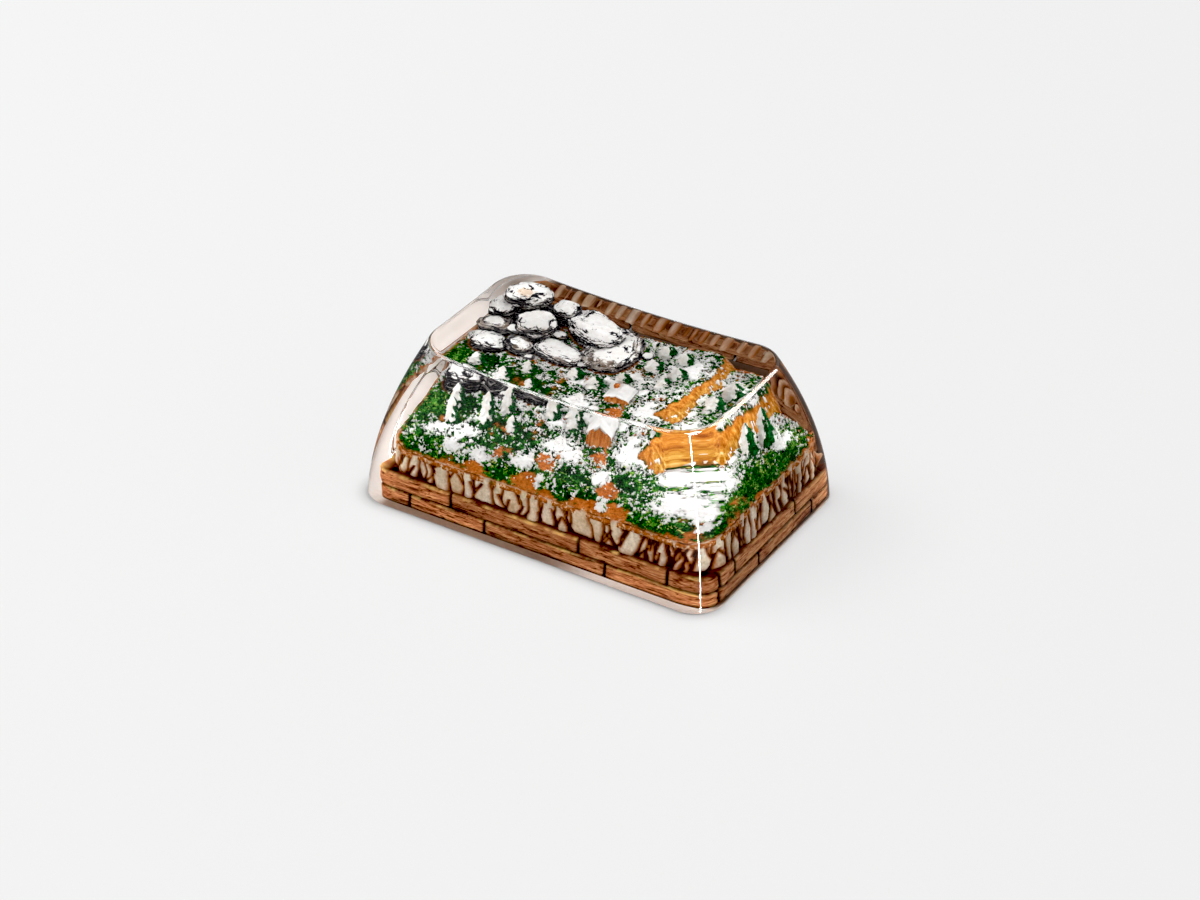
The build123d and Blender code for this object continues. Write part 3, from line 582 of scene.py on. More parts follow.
def rock_material():
    """White dry-brushed tops over black flanks with fine light streaks that follow the layers."""
    n = Nodes("painted_rock")
    n.matt(0.9)
    vec = n.position()
    sep = n.new("ShaderNodeSeparateXYZ")
    n.link(vec, sep.inputs[0])

    def layered(flat, steep):
        com = n.new("ShaderNodeCombineXYZ")
        n.link(n.math("MULTIPLY", sep.outputs[0], flat), com.inputs[0])
        n.link(n.math("MULTIPLY", sep.outputs[1], flat), com.inputs[1])
        n.link(n.math("MULTIPLY", n.attr("lay"), steep), com.inputs[2])
        return com.outputs[0]

    def off(fac, gain):
        return n.math("MULTIPLY", n.math("SUBTRACT", fac, 0.5), gain)

    streak = n.noise(layered(0.8, 9.0), 1.0, 4.0, 0.65, 0.3)
    mid = n.noise(vec, 2.6, 5.0, 0.65)
    fine = n.noise(vec, 8.0, 4.0, 0.7)
    flank = n.ramp(streak, [(0.40, ink(14, 13, 16)), (0.46, ink(70, 66, 68)), (0.53, ink(142, 134, 128)), (0.60, ink(212, 202, 192)), (0.67, ink(250, 245, 240))])
    brown = n.ramp(n.noise(vec, 0.8, 3.0), [(0.46, 0.0), (0.62, 0.55)])
    flank = n.mix(brown, flank, ink(128, 106, 88))
    snow = n.ramp(mid, [(0.32, ink(234, 226, 218)), (0.6, ink(255, 253, 250))])
    w = n.math("ADD", n.math("ADD", n.attr("cap"), off(mid, 0.9)), n.math("ADD", off(fine, 0.6), off(streak, 0.7)))
    c = n.mix(n.ramp(w, [(0.47, 0.0), (0.53, 1.0)]), flank, snow)
    c = n.mix(n.ramp(n.math("ADD", n.attr("tint"), n.math("ADD", off(mid, 2.0), off(fine, 1.6))), [(0.52, 0.0), (0.60, 0.85)]), c, ink(196, 158, 128))
    fleck = n.math("ADD", n.noise(layered(1.2, 3.2), 1.0, 5.0, 0.7, 0.5), n.math("MULTIPLY", n.attr("fleck"), 0.16))
    c = n.mix(n.ramp(fleck, [(0.60, 0.0), (0.64, 1.0)]), c, ink(22, 20, 24))
    # painted shade: near contacts, by the soil and on down-facing faces the darker flank colours replace the rest
    gap = n.ramp(streak, [(0.44, ink(10, 10, 13)), (0.53, ink(46, 44, 49)), (0.60, ink(124, 118, 116)), (0.68, ink(214, 206, 200))])
    c = n.mix(n.ramp(n.math("ADD", n.attr("contact_shade"), off(mid, 0.7)), [(0.40, 0.0), (0.60, 1.0)]), c, gap)
    n.color(c)
    return n.mat


def moss_material():
    n = Nodes("moss")
    n.matt(0.9)
    tone = n.attr("tone")
    vec = n.position()
    c = n.ramp(tone, [(0.0, ink(2, 14, 4)), (0.2, ink(6, 46, 12)), (0.42, ink(24, 100, 26)), (0.7, ink(78, 158, 44)), (1.0, ink(206, 206, 92))])
    shade = n.ramp(n.noise(vec, 1.4, 3.0), [(0.3, 0.75), (0.7, 1.1)])
    n.color(n.mix(1.0, c, shade, "MULTIPLY"))
    return n.mat


def snow_material():
    n = Nodes("snow")
    n.matt(0.9)
    vec = n.position()
    c = n.ramp(n.noise(vec, 2.0, 6.0, 0.7), [(0.28, ink(232, 222, 216)), (0.5, ink(252, 248, 246)), (0.7, ink(255, 254, 253))])
    n.color(c)
    n.bump(n.noise(vec, 8.0, 4.0), 0.4, 0.00006)
    return n.mat


def tree_material():
    n = Nodes("snowy_conifer")
    n.matt(0.9)
    vec = n.position()
    leaf = n.ramp(n.noise(vec, 5.0, 4.0, 0.7), [(0.3, ink(2, 14, 6)), (0.5, ink(6, 48, 18)), (0.7, ink(34, 104, 40))])
    white = n.ramp(n.noise(vec, 3.0, 4.0), [(0.3, ink(226, 212, 198)), (0.6, ink(255, 251, 246))])
    # the white follows 'snow', which is laid by the lit side: partly snow, partly painted light
    edge = n.math("ADD", n.attr("snow"), n.math("MULTIPLY", n.math("SUBTRACT", n.noise(vec, 7.0, 4.0, 0.7), 0.5), 0.8))
    n.color(n.mix(n.ramp(edge, [(0.44, 0.0), (0.52, 1.0)]), leaf, white))
    return n.mat


def cabin_material():
    n = Nodes("cabin_walls")
    n.matt(0.9)
    grain = n.noise(n.position((4200, 4200, 700)), 1.0, 5.0, 0.65)
    c = n.ramp(grain, [(0.3, ink(104, 40, 12)), (0.48, ink(172, 84, 34)), (0.66, ink(206, 118, 58))])
    speck = n.ramp(n.noise(n.position(), 7.0, 4.0, 0.7), [(0.34, 0.6), (0.5, 1.0), (0.7, 1.15)])
    n.color(n.mix(1.0, c, speck, "MULTIPLY"))
    return n.mat


def floor_material():
    n = Nodes("pale_floor")
    n.matt(0.9, 0.1)
    vec = n.position((30.0, 30.0, 30.0))
    n.color(n.ramp(n.noise(vec, 1.0, 2.0), [(0.0, (0.17, 0.17, 0.17)), (1.0, (0.174, 0.174, 0.174))]))
    n.bsdf.inputs["Emission Color"].default_value = (1.0, 1.0, 1.0, 1.0)
    # a narrow contact shadow that falls a little to the front and the left
    sep = n.new("ShaderNodeSeparateXYZ")
    n.link(n.position(), sep.inputs[0])
    dx = n.math("MAXIMUM", n.math("SUBTRACT", n.math("ABSOLUTE", n.math("ADD", sep.outputs[0], 0.15)), 11.6), 0.0)
    dy = n.math("MAXIMUM", n.math("SUBTRACT", n.math("ABSOLUTE", n.math("ADD", sep.outputs[1], 0.2)), 6.85), 0.0)
    far = n.math("SQRT", n.math("ADD", n.math("MULTIPLY", dx, dx), n.math("MULTIPLY", dy, dy)))
    near = n.math("MULTIPLY", n.math("SUBTRACT", far, 1.9), 0.5, clamp=True)
    shade = [(0.05, 0.24), (0.15, 0.42), (0.255, 0.50), (0.36, 0.556), (0.465, 0.604), (0.60, 0.624), (0.85, 0.635)]
    n.link(n.ramp(near, shade), n.bsdf.inputs["Emission Strength"])
    n.mat.cycles.emission_sampling = "NONE"
    return n.mat


RESIN, FROST = resin_material(), frosted_material()
PLANK, STONE, SOILM, HOLLOW = plank_material(), stone_material(), soil_material(), hollow_material()
ROCK, MOSSM, SNOWM = rock_material(), moss_material(), snow_material()


# ------------------------------------------------------------------ clear cap
def lean(z):
    t = np.maximum(np.asarray(z, float) / HT, 0)
    return LIN * t + (1 - LIN) * t * t


def dish(x, y):
    d2 = x * x + (y - DISH_Y) ** 2
    return DISH_Z + DISH_R - np.sqrt(DISH_R ** 2 - d2)


def columns(nx=72, ny=46, na=26):
    fx, fy, ux, uy = [], [], [], []
    for k, (sx, sy) in enumerate(((1, -1), (1, 1), (-1, 1), (-1, -1))):
        n = nx if k % 2 == 0 else ny
        for i in range(n):
            f = -1 + 2 * i / n
            if k == 0:
                fx.append(f); fy.append(-1); ux.append(0); uy.append(-1)
            elif k == 1:
                fx.append(1); fy.append(f); ux.append(1); uy.append(0)
            elif k == 2:
                fx.append(-f); fy.append(1); ux.append(0); uy.append(1)
            else:
                fx.append(-1); fy.append(-f); ux.append(-1); uy.append(0)
        for i in range(na):
            a = math.radians(-90 + 90 * k + 90 * i / na)
            fx.append(sx); fy.append(sy); ux.append(math.cos(a)); uy.append(math.sin(a))
    return (np.array(q, float) for q in (fx, fy, ux, uy))


def build_cap():
    fx, fy, ux, uy = columns()
    n = len(fx)

    def wall(z, inset=0.0):
        s = lean(z)
        a = LB / 2 - END_IN * s
        b = WB / 2 - (FRONT_IN + BACK_IN) / 2 * s
        r = RB + (RT - RB) * np.asarray(z, float) / HT
        x = fx * (a - r) + (r - inset) * ux
        y = (FRONT_IN - BACK_IN) / 2 * s + fy * (b - r) + (r - inset) * uy
        return np.stack([x, y, np.broadcast_to(z, x.shape)], -1)

    def frame_ring(x0, x1, y0, y1, r, off, z):
        x = (x0 + x1) / 2 + fx * ((x1 - x0) / 2 - r) + (r + off) * ux
        y = (y0 + y1) / 2 + fy * ((y1 - y0) / 2 - r) + (r + off) * uy
        return np.stack([x, y, np.broadcast_to(z, x.shape)], -1)

    def bezier(p, q, w, k):
        return [(1 - t) ** 2 * p + 2 * t * (1 - t) * q + t * t * w for t in np.linspace(0, 1, k)[1:-1]]

    zr = np.full(n, 11.0)
    for _ in range(40):
        p = wall(zr)
        zr = dish(p[:, 0], p[:, 1])
    rim = wall(zr)
    rows, frost_rows = [], []
    # inner face, hidden inside the opaque base
    inner = frame_ring(CX0, CX1, CY0, CY1, CR, -0.5, 0.0)
    for t in np.linspace(0.04, 1.0, 26):
        x, y = 0.2 + (inner[:, 0] - 0.2) * t, inner[:, 1] * t
        rows.append(np.stack([x, y, ground(x, y) - 0.5], -1))
    rows.append(frame_ring(CX0, CX1, CY0, CY1, CR, -0.5, 1.7))
    rows.append(frame_ring(PX0, PX1, PY0, PY1, PR, -0.38, 1.65))
    rows.append(frame_ring(PX0, PX1, PY0, PY1, PR, -0.38, 0.3))
    first = len(rows)
    low = frame_ring(PX0, PX1, PY0, PY1, PR, -0.02, 0.0)
    base0 = wall(0.0, 0.14)
    rows.append(low)
    for t in (0.25, 0.5, 0.75):
        rows.append(low + (base0 - low) * t)
    rows.append(base0)
    last = len(rows)
    rows += bezier(base0, wall(0.0), wall(0.14), 7)
    f = 0.26
    for t in np.linspace(0, 1, 52):
        rows.append(wall(0.14 + (zr - f - 0.14) * t))
    top = rim.copy()
    top[:, 0] -= 0.26 * ux
    top[:, 1] -= 0.26 * uy
    top[:, 2] = dish(top[:, 0], top[:, 1])
    rows += bezier(wall(zr - f), rim, top, 10)
    for t in np.linspace(1, 0.02, 46):
        x, y = top[:, 0] * t, DISH_Y + (top[:, 1] - DISH_Y) * t
        rows.append(np.stack([x, y, dish(x, y)], -1))
    v = np.vstack(rows)
    faces = strip_faces(len(rows), n)
    idx = [1 if first <= q[0] // n < last - 1 else 0 for q in faces]
    v = np.vstack([v, [[0.2, 0.0, float(ground(0.2, 0.0)) - 0.5], [0.0, DISH_Y, DISH_Z]]])
    a, b, e = len(v) - 2, len(v) - 1, (len(rows) - 1) * n
    faces += [(a, (c + 1) % n, c) for c in range(n)]
    faces += [(b, e + c, e + (c + 1) % n) for c in range(n)]
    idx += [0] * (2 * n)
    # the sanded rim is palest at the left end and browner at the right and the back: painted light at the left end,
    # painted shade at the back and the right, and a painted highlight growing towards the right along the front
    left = sst(-11.2, -12.3, v[:, 0]) * (0.74 + 0.26 * sst(-12.25, -13.45, v[:, 0]))
    front = sst(-6.5, -7.8, v[:, 1]) * (1 - sst(-11.2, -12.3, v[:, 0]))
    right = sst(13.0, 13.5, v[:, 0]) * (1 - front)
    pale = np.clip(left + (0.5 + 0.3 * sst(0.5, 6.0, v[:, 0])) * front + 0.8 * right, 0, 1)
    return add_piece("clear_resin_cap_look", v, faces, [RESIN, FROST], idx, attrs={"pale": pale})


cap = build_cap()
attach(cap, "root")
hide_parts("clear_resin_cap")


# ------------------------------------------------------------------ scenic base: planks, stones, soil, underside
base = Bag(("grain", "tone", "edge", "ledge", "dark", "wash", "bank", "low", "rim", "under", "rock", "run", "rise"))
planks = Track(PX0, PX1, PY0, PY1, PR)


def board(s0, s1, z0, z1, number):
    length = s1 - s0
    ns = max(6, int(length / 0.1))
    s = np.linspace(s0, s1, ns)
    h = z1 - z0
    prof = [(-0.6, 0.0), (-0.14, 0.0), (-0.06, 0.02), (-0.015, 0.07)]
    prof += [(0.0, t) for t in np.linspace(0.14, 0.86, 10)]
    prof += [(-0.012, 0.93), (-0.05, 0.98), (-0.12, 1.0), (-0.6, 1.0)]
    prof = np.array(prof)
    k = len(prof)
    ss, tt = np.meshgrid(s, prof[:, 1], indexing="ij")
    dd = np.broadcast_to(prof[:, 0], ss.shape).copy()
    x, y, nx, ny = planks.at(ss)
    wob0 = 0.035 * fbm(ss * 0.6, number * 3.1, seed=101, octaves=3)
    wob1 = 0.05 * fbm(ss * 0.5, number * 5.7, seed=103, octaves=3)
    z = z0 + wob0 * (1 - tt) + (h + wob1) * tt
    front = dd > -0.3
    g = fbm(ss * 0.55 + 0.6 * noise(ss * 0.4, number), tt * 4.2 + number * 9, seed=107, octaves=4)
    g2 = noise(ss * 1.1, tt * 15 + number * 4, seed=109)
    rid = 1 - np.abs(noise(ss * 0.33 + 5, tt * 6.5 + number * 7 + 0.5 * noise(ss * 0.7, tt * 2, seed=4), seed=111))
    relief = 0.05 * g + 0.018 * g2 - 0.07 * sst(0.82, 1.0, rid)
    ends = np.minimum(ss - s0, s1 - ss)
    relief = relief - 0.07 * np.exp(-ends / 0.09)
    d = dd + np.where(front, relief, 0) + 0.02 * noise(ss * 0.25, number * 2.0, seed=113)
    x, y = x + nx * d, y + ny * d
    # painted light: the boards on the right side are made lighter by the nx term
    grain = np.clip(0.56 + 0.28 * g + 0.16 * g2 - 0.50 * sst(0.88, 1.0, rid) + 0.13 * sst(0.5, 1.0, nx), 0, 1)
    # top edges lightened, partly dry-brushed paint and partly a painted highlight that fades on the right and is absent
    # at the back; a faint painted highlight runs along the bottom edges too
    edge = np.clip(sst(0.85, 0.95, tt) * np.where(dd > -0.2, 1.0, 0.0), 0, 1) * sst(-0.25, 0.35, fbm(ss * 1.4, number * 2.2, seed=115)) * (1 - 0.6 * sst(0.5, 1.0, nx)) * (1 - sst(0.3, 0.8, ny))
    edge = edge + 0.12 * np.exp(-((tt - 0.02) / 0.06) ** 2) * sst(0.0, 0.4, fbm(ss * 1.7, number, seed=116))
    # dark joints at the board ends, painted shade in the crease under each board, and painted shade over the whole back
    # side
    dark = 0.85 * np.exp(-ends / 0.05) + 0.85 * sst(0.20, 0.02, tt) * (1 - np.clip(edge, 0, 1))
    dark = dark + 0.42 * sst(0.6, 1.0, ny)
    # the boards' top face under the stones, painted dark as shade
    ledge = np.where(dd < -0.3, 1.0, 0.0) * np.where(tt > 0.5, 1.0, 0.0)
    f = []
    for i in range(ns - 1):
        for j in range(k - 1):
            f.append((i * k + j, (i + 1) * k + j, (i + 1) * k + j + 1, i * k + j + 1))
        f.append((i * k + k - 1, (i + 1) * k + k - 1, (i + 1) * k, i * k))
    f.append(tuple(range(k)))
    f.append(tuple((ns - 1) * k + j for j in reversed(range(k))))
    v = np.stack([x, y, z], -1).reshape(-1, 3)
    base.add(v, f, 0, grain=grain.ravel(), tone=float(_hash(np.array([number]), np.array([3]), np.array([1]), 5)[0]),
             edge=np.clip(edge, 0, 1).ravel(), ledge=ledge.ravel(), dark=np.clip(dark, 0, 1).ravel(),
             run=(ss + number * 11.3).ravel(), rise=(tt * (z1 - z0) + number * 5.7).ravel())


def course(joints, z0, z1, first):
    joints = sorted(j % planks.length for j in joints)
    for k, a in enumerate(joints):
        b = joints[k + 1] if k + 1 < len(joints) else joints[0] + planks.length
        board(a + 0.075, b - 0.075, z0, z1, first + k)


T = planks
course([T.front(-6.5), T.front(3.55), T.front(10.3), T.right(-6.6), T.right(-4.85), T.right(3.15),
        T.back(-7.6), T.back(1.2), T.back(8.4), T.left(-2.6), T.left(4.3)], COURSE + 0.075, PLANK_TOP, 1)
course([T.front(-9.8), T.front(-3.8), T.front(5.6), T.right(-6.75), T.right(-1.8), T.right(5.4),
        T.back(-3.9), T.back(4.9), T.left(0.9), T.left(-5.2)], 0.03, COURSE - 0.065, 21)

# the wall behind the boards, dark where it shows in their joints, and the ledge that the stones stand on, painted dark
# as shade
ns = 520
s = np.arange(ns) / ns * planks.length
x, y, nx, ny = planks.at(s)
rows = []
for off, z in ((-0.9, 0.02), (-0.34, 0.02), (-0.34, 1.0), (-0.34, 1.97), (-0.55, 2.03), (-0.8, 2.06), (-1.25, 2.06), (-1.25, 0.02)):
    rows.append(np.stack([x + nx * off, y + ny * off, np.full(ns, z)], -1))
v = np.vstack(rows)
f = strip_faces(len(rows), ns) + [((len(rows) - 1) * ns + c, (len(rows) - 1) * ns + (c + 1) % ns, (c + 1) % ns, c) for c in range(ns)]
base.add(v, f, 0, grain=0.12, tone=0.3, ledge=np.repeat([0, 0, 0, 0.4, 1, 1, 1, 0], ns), dark=np.repeat([1, 1, 1, 0.6, 0.1, 0.25, 0.5, 1.0], ns))

# stone band: tall stones that meet at the top and taper like roots, split by crevices of uneven width
cliff = Track(CX0, CX1, CY0, CY1, CR)
cr = np.random.default_rng(29)
walls_, at_ = [], 0.0
while at_ < cliff.length - 0.45:
    walls_.append(at_ + cr.uniform(-0.08, 0.08))
    at_ += float(cr.choice([0.55, 0.8, 1.0, 1.25], p=[0.2, 0.35, 0.3, 0.15])) * float(cr.uniform(0.9, 1.1))
walls_ = np.array(walls_)
nw = len(walls_)
kind = cr.uniform(0, 1, nw)
lean_ = cr.uniform(-0.34, 0.34, nw)
wide = cr.uniform(0.03, 0.24, nw)
shut = cr.uniform(0.55, 1.15, nw)
foot_ = cr.uniform(-0.25, 0.30, nw)
back_wall = cliff.at(walls_)[3] > 0.8
foot_ = np.where(back_wall, -0.2, foot_)
nb = int(nw * 2.4)
host = cr.integers(0, nw, nb)
b_t0, b_len, b_run = cr.uniform(-0.1, 0.7, nb), cr.uniform(0.25, 0.6, nb), cr.uniform(0.35, 1.1, nb) * cr.choice([-1, 1], nb)
b_wide = cr.uniform(0.015, 0.10, nb)
ns, nv = 760, 30
s = np.arange(ns) / ns * cliff.length
x, y, nx, ny = cliff.at(s)
top = soil(x - nx * 0.05, y - ny * 0.05) - 0.02
rows, wash, tone = [], [], []
shade = sst(-0.1, 0.5, noise(s * 0.23, 2.0, seed=135)) * 0.55 + 0.45 * sst(7.0, 10.5, x) * sst(-3.0, -6.0, y)
behind = sst(0.6, 1.0, ny)


def away(a, b):
    return np.mod(a - b + cliff.length / 2, cliff.length) - cliff.length / 2


for i in range(nv):
    t = i / (nv - 1)
    z = 1.95 + (top - 1.95) * t
    hv = z - 1.95
    # main crevices: most are wide below and close towards the top, some open upwards
    root = wide * np.clip(1 - t / shut, 0, 1) ** 0.8
    vee = wide * np.clip((t - 0.15) / 0.85, 0, 1) ** 0.9
    even = 0.5 * wide * (0.6 + 0.4 * np.sin(6 * t + 9 * kind))
    w = 0.02 + np.where(kind < 0.5, root, np.where(kind < 0.78, vee, even))
    w = np.where(back_wall, 0.10 + 0.10 * kind, w)
    c = walls_ + lean_ * (t - 0.5) * 1.6 + 0.20 * noise(walls_ * 3.1, t * 2.6, seed=145) + 0.05 * noise(walls_ * 3.1, t * 7.0, seed=146)
    far_ = away(s[:, None], c[None, :])
    gaps = np.abs(far_) - w[None, :] / 2
    # branches that split off sideways
    bt = (t - b_t0) / b_len
    bc = walls_[host] + lean_[host] * (t - 0.5) * 1.6 + b_run * np.clip(bt, 0, 1) * 0.62 + 0.06 * noise(host * 1.7, t * 5.0, seed=147)
    bw = b_wide * np.clip(4 * bt * (1 - bt), 0, 1) ** 0.5 - 0.5 * ((bt < 0) | (bt > 1))
    bgap = np.abs(away(s[:, None], bc[None, :])) - bw[None, :] / 2
    # the stones' own feet stand at different heights
    k = np.argmin(np.where(far_ >= 0, far_, 99.0), 1)
    num = kind[k]
    base_ = (hv - foot_[k]) * 0.8
    allg = np.concatenate([gaps, bgap, base_[:, None]], 1)
    d = -np.log(np.exp(-np.clip(allg, -1, 3) / 0.06).sum(1)) * 0.06
    fine = fbm(s * 2.6, z * 2.6, seed=141, octaves=4)
    d = d + 0.05 * fine
    fade = sst(0.70, 0.98, t)
    body = sst(-0.06, 0.26, d)
    mid_ = walls_[k] + 0.45
    facet = away(s, mid_) * (np.mod(num * 7.31, 1.0) - 0.5) * 0.44 + (t - 0.5) * (np.mod(num * 13.7, 1.0) - 0.5) * 0.46
    relief = -0.25 + 0.31 * np.maximum(body, 0.55 * fade) + 0.05 * fine + (0.10 * (num - 0.5) + facet) * body
    # at the back the stones lean out over the boards
    relief = relief + 0.66 * np.exp(-((hv - 0.62) / 0.50) ** 2) * behind * (0.30 + 0.70 * sst(-0.05, 0.18, d))
    over = sst(0.90, 1.0, t)
    relief = relief * (1 - over) + (0.03 + 0.07 * fine) * over
    rows.append(np.stack([x + nx * relief, y + ny * relief, z], -1))
    # brown wash in the crevices and along the stones' borders, plus painted shade at the stones' feet, varying along
    # the band and strongest towards the front-right corner, and painted shade over the back stones, darkest high up
    wsh = (1.0 - sst(-0.09, 0.15, d)) * (1 - 0.35 * fade) + 0.75 * shade * sst(0.40, 0.0, t) + 0.14 * fine + 0.17 * sst(0.40, 0.04, d)
    wsh = np.maximum(wsh + 0.19 * behind, 0.85 * behind * sst(1.15, 1.5, hv))
    flecks = sst(0.0, 0.35, noise(s * 2.2, t * 4, seed=143))
    wash.append(np.clip(wsh * (1 - 0.8 * over) + over * (0.25 + 0.5 * flecks), 0, 1))
    # the back stones also get a browner tint, as painted shade
    tone.append(np.clip(num * (0.65 + 0.35 * t), 0, 1) * (1 - 0.6 * behind))
inn = np.stack([x - nx * 0.7, y - ny * 0.7, top - 0.12], -1)
low = np.stack([x - nx * 0.7, y - ny * 0.7, np.full(ns, 1.95)], -1)
rows += [inn, low]
wash += [np.full(ns, 0.6)] * 2
tone += [np.full(ns, 0.5)] * 2
v = np.vstack(rows)
f = strip_faces(len(rows), ns) + [((len(rows) - 1) * ns + c, (len(rows) - 1) * ns + (c + 1) % ns, (c + 1) % ns, c) for c in range(ns)]
base.add(v, f, 1, wash=np.concatenate(wash), tone=np.concatenate(tone))

# soil, as a closed slab whose border follows the stone band
STEP = 0.13
gx = np.arange(CX0 - STEP, CX1 + 2 * STEP, STEP)
gy = np.arange(CY0 - STEP, CY1 + 2 * STEP, STEP)
X, Y = np.meshgrid(gx, gy, indexing="ij")
D = edge_distance(X, Y)
inside = D > 0.0
cell = inside[:-1, :-1] | inside[1:, :-1] | inside[1:, 1:] | inside[:-1, 1:]
used = np.zeros(X.shape, bool)
for a in (0, 1):
    for b in (0, 1):
        used[a:X.shape[0] - 1 + a, b:X.shape[1] - 1 + b] |= cell
eps = 1e-3
gxd = (edge_distance(X + eps, Y) - edge_distance(X - eps, Y)) / (2 * eps)
gyd = (edge_distance(X, Y + eps) - edge_distance(X, Y - eps)) / (2 * eps)
push = np.where(used & (D < 0.02), 0.02 - D, 0)
wavy = 0.10 * fbm(X * 1.7, Y * 1.7, seed=151, octaves=3) + 0.03
Xs = X + gxd * push
Ys = Y + gyd * push
Xs = Xs - gxd * np.where(D < 0.02, wavy, 0)
Ys = Ys - gyd * np.where(D < 0.02, wavy, 0)
Z = soil(Xs, Ys)
D2 = edge_distance(Xs, Ys)
mossy, snowy = moss_amount(Xs, Ys), snow_amount(Xs, Ys)
num = -np.ones(X.shape, int)
num[used] = np.arange(used.sum())
cnt = used.sum()
Zt = Z - 0.10 * (1 - sst(0.0, 0.12, D2))
v = np.stack([Xs[used], Ys[used], Zt[used]], -1)
vb = v.copy()
vb[:, 2] = ground(v[:, 0], v[:, 1]) - 0.42
f, count = [], {}
for i, j in zip(*np.nonzero(cell)):
    q = (num[i, j], num[i + 1, j], num[i + 1, j + 1], num[i, j + 1])
    f.append(q)
    for a, b in zip(q, q[1:] + q[:1]):
        count[(a, b)] = 1
f += [tuple(k + cnt for k in reversed(q)) for q in list(f)]
for a, b in list(count):
    if (b, a) not in count:
        f.append((b, a, a + cnt, b + cnt))
bk = bank(v[:, 0], v[:, 1])
rimv = 1 - sst(0.02, 0.20, D2[used] + 0.22 * fbm(v[:, 0] * 1.8, v[:, 1] * 1.8, seed=153))
und = sst(-0.05, 0.25, mossy[used])
rk = rock_near(v[:, 0], v[:, 1])
two = lambda q: np.concatenate([q, q])
low_ = sst(0.28, 0.62, bank_depth(v[:, 0], v[:, 1]) + 0.25 * sst(1.5, -1.0, v[:, 1]))
base.add(np.vstack([v, vb]), f, 2, bank=two(bk), low=two(low_), rim=two(rimv * 0.8), under=two(und * (1 - rimv)), rock=two(rk))

# underside: the faces of the CAD casting that line the hollow and the stem, and its bottom
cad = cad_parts["scenic_base"].data
co = np.array([q.co for q in cad.vertices], float) * 1000
keep = []
for p in cad.polygons:
    c = co[list(p.vertices)]
    m = c.mean(0)
    lined = np.all(np.abs(c[:, 0]) < 10.75) and np.all(np.abs(c[:, 1]) < 6.25) and np.all(c[:, 2] < 4.32)
    bottom = np.all(c[:, 2] < 0.005)
    if lined or bottom:
        keep.append(tuple(p.vertices))
ids = sorted({k for q in keep for k in q})
back = {k: i for i, k in enumerate(ids)}
base.add(co[ids], [tuple(back[k] for k in q) for q in keep], 3)
scenic = base.piece("scenic_base_look", [PLANK, STONE, SOILM, HOLLOW])
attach(scenic, "root")
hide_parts("scenic_base")


# ------------------------------------------------------------------ boulders
def icosphere(level):
    import bmesh
    bm = bmesh.new()
    bmesh.ops.create_icosphere(bm, subdivisions=level, radius=1.0)
    v = np.array([q.co for q in bm.verts], float)
    bm.verts.index_update()
    f = [tuple(q.index for q in p.verts) for p in bm.faces]
    bm.free()
    return v, f


ICO5, ICO4 = icosphere(6), icosphere(4)


def to_local(d, p):
    ct, st = math.cos(math.radians(d[6])), math.sin(math.radians(d[6]))
    cb, sb = math.cos(math.radians(d[7])), math.sin(math.radians(d[7]))
    q = p - np.array(d[:3])
    x, y = q[:, 0] * ct + q[:, 1] * st, -q[:, 0] * st + q[:, 1] * ct
    x, z = x * cb - q[:, 2] * sb, x * sb + q[:, 2] * cb
    return np.stack([x / d[3], y / d[4], z / d[5]], -1)


def stone_shape(d, unit, strata):
    cx, cy, cz, rx, ry, rz, turn, tilt, seed = d
    ct, st = math.cos(math.radians(turn)), math.sin(math.radians(turn))
    cb, sb = math.cos(math.radians(tilt)), math.sin(math.radians(tilt))
    p = 2.5
    k = 1.0 / (np.abs(unit) ** p).sum(1) ** (1 / p)
    o = seed * 7.3
    k = k * (0.97 + 0.11 * noise(unit[:, 0] * 1.5 + o, unit[:, 1] * 1.5, unit[:, 2] * 1.5, seed=201)
             + 0.05 * noise(unit[:, 0] * 3.6 + o, unit[:, 1] * 3.6, unit[:, 2] * 3.6, seed=203))
    q = unit * k[:, None] * np.array([rx, ry, rz])
    # layers: ledges that step in and out round the stone
    lay = q[:, 2] * 4.6 + 0.9 * noise(q[:, 0] * 0.8 + o, q[:, 1] * 0.8, seed=205) + 0.4 * noise(q[:, 0] * 2.4 + o, q[:, 1] * 2.4, q[:, 2], seed=207)
    saw = lay - np.floor(lay)
    amp = strata * 0.085
    flat = np.hypot(q[:, 0] / rx, q[:, 1] / ry)
    side = sst(0.35, 0.8, flat)
    q[:, :2] *= (1 + amp * (saw - 0.5) * side)[:, None]
    rough = fbm(q[:, 0] * 1.6 + o, q[:, 1] * 1.6, q[:, 2] * 1.6, seed=209, octaves=5)
    f1, f2, num = cells(q[:, 0] * 0.75 + o, q[:, 1] * 0.75 + 0.5 * q[:, 2], seed=211 + seed)
    crk = 1 - sst(0.0, 0.09, f2 - f1)
    q = q * (1 + 0.05 * rough - 0.03 * crk)[:, None]
    x, z = q[:, 0] * cb + q[:, 2] * sb, -q[:, 0] * sb + q[:, 2] * cb
    x, y = x * ct - q[:, 1] * st, x * st + q[:, 1] * ct
    w = np.stack([cx + x, cy + y, cz + z], -1)
    return w, lay / 4.6, side


def normals(v, f):
    t = np.array(f)
    n = np.cross(v[t[:, 1]] - v[t[:, 0]], v[t[:, 2]] - v[t[:, 0]])
    out = np.zeros(v.shape)
    for k in range(3):
        np.add.at(out, t[:, k], n)
    return out / np.linalg.norm(out, axis=1, keepdims=True)


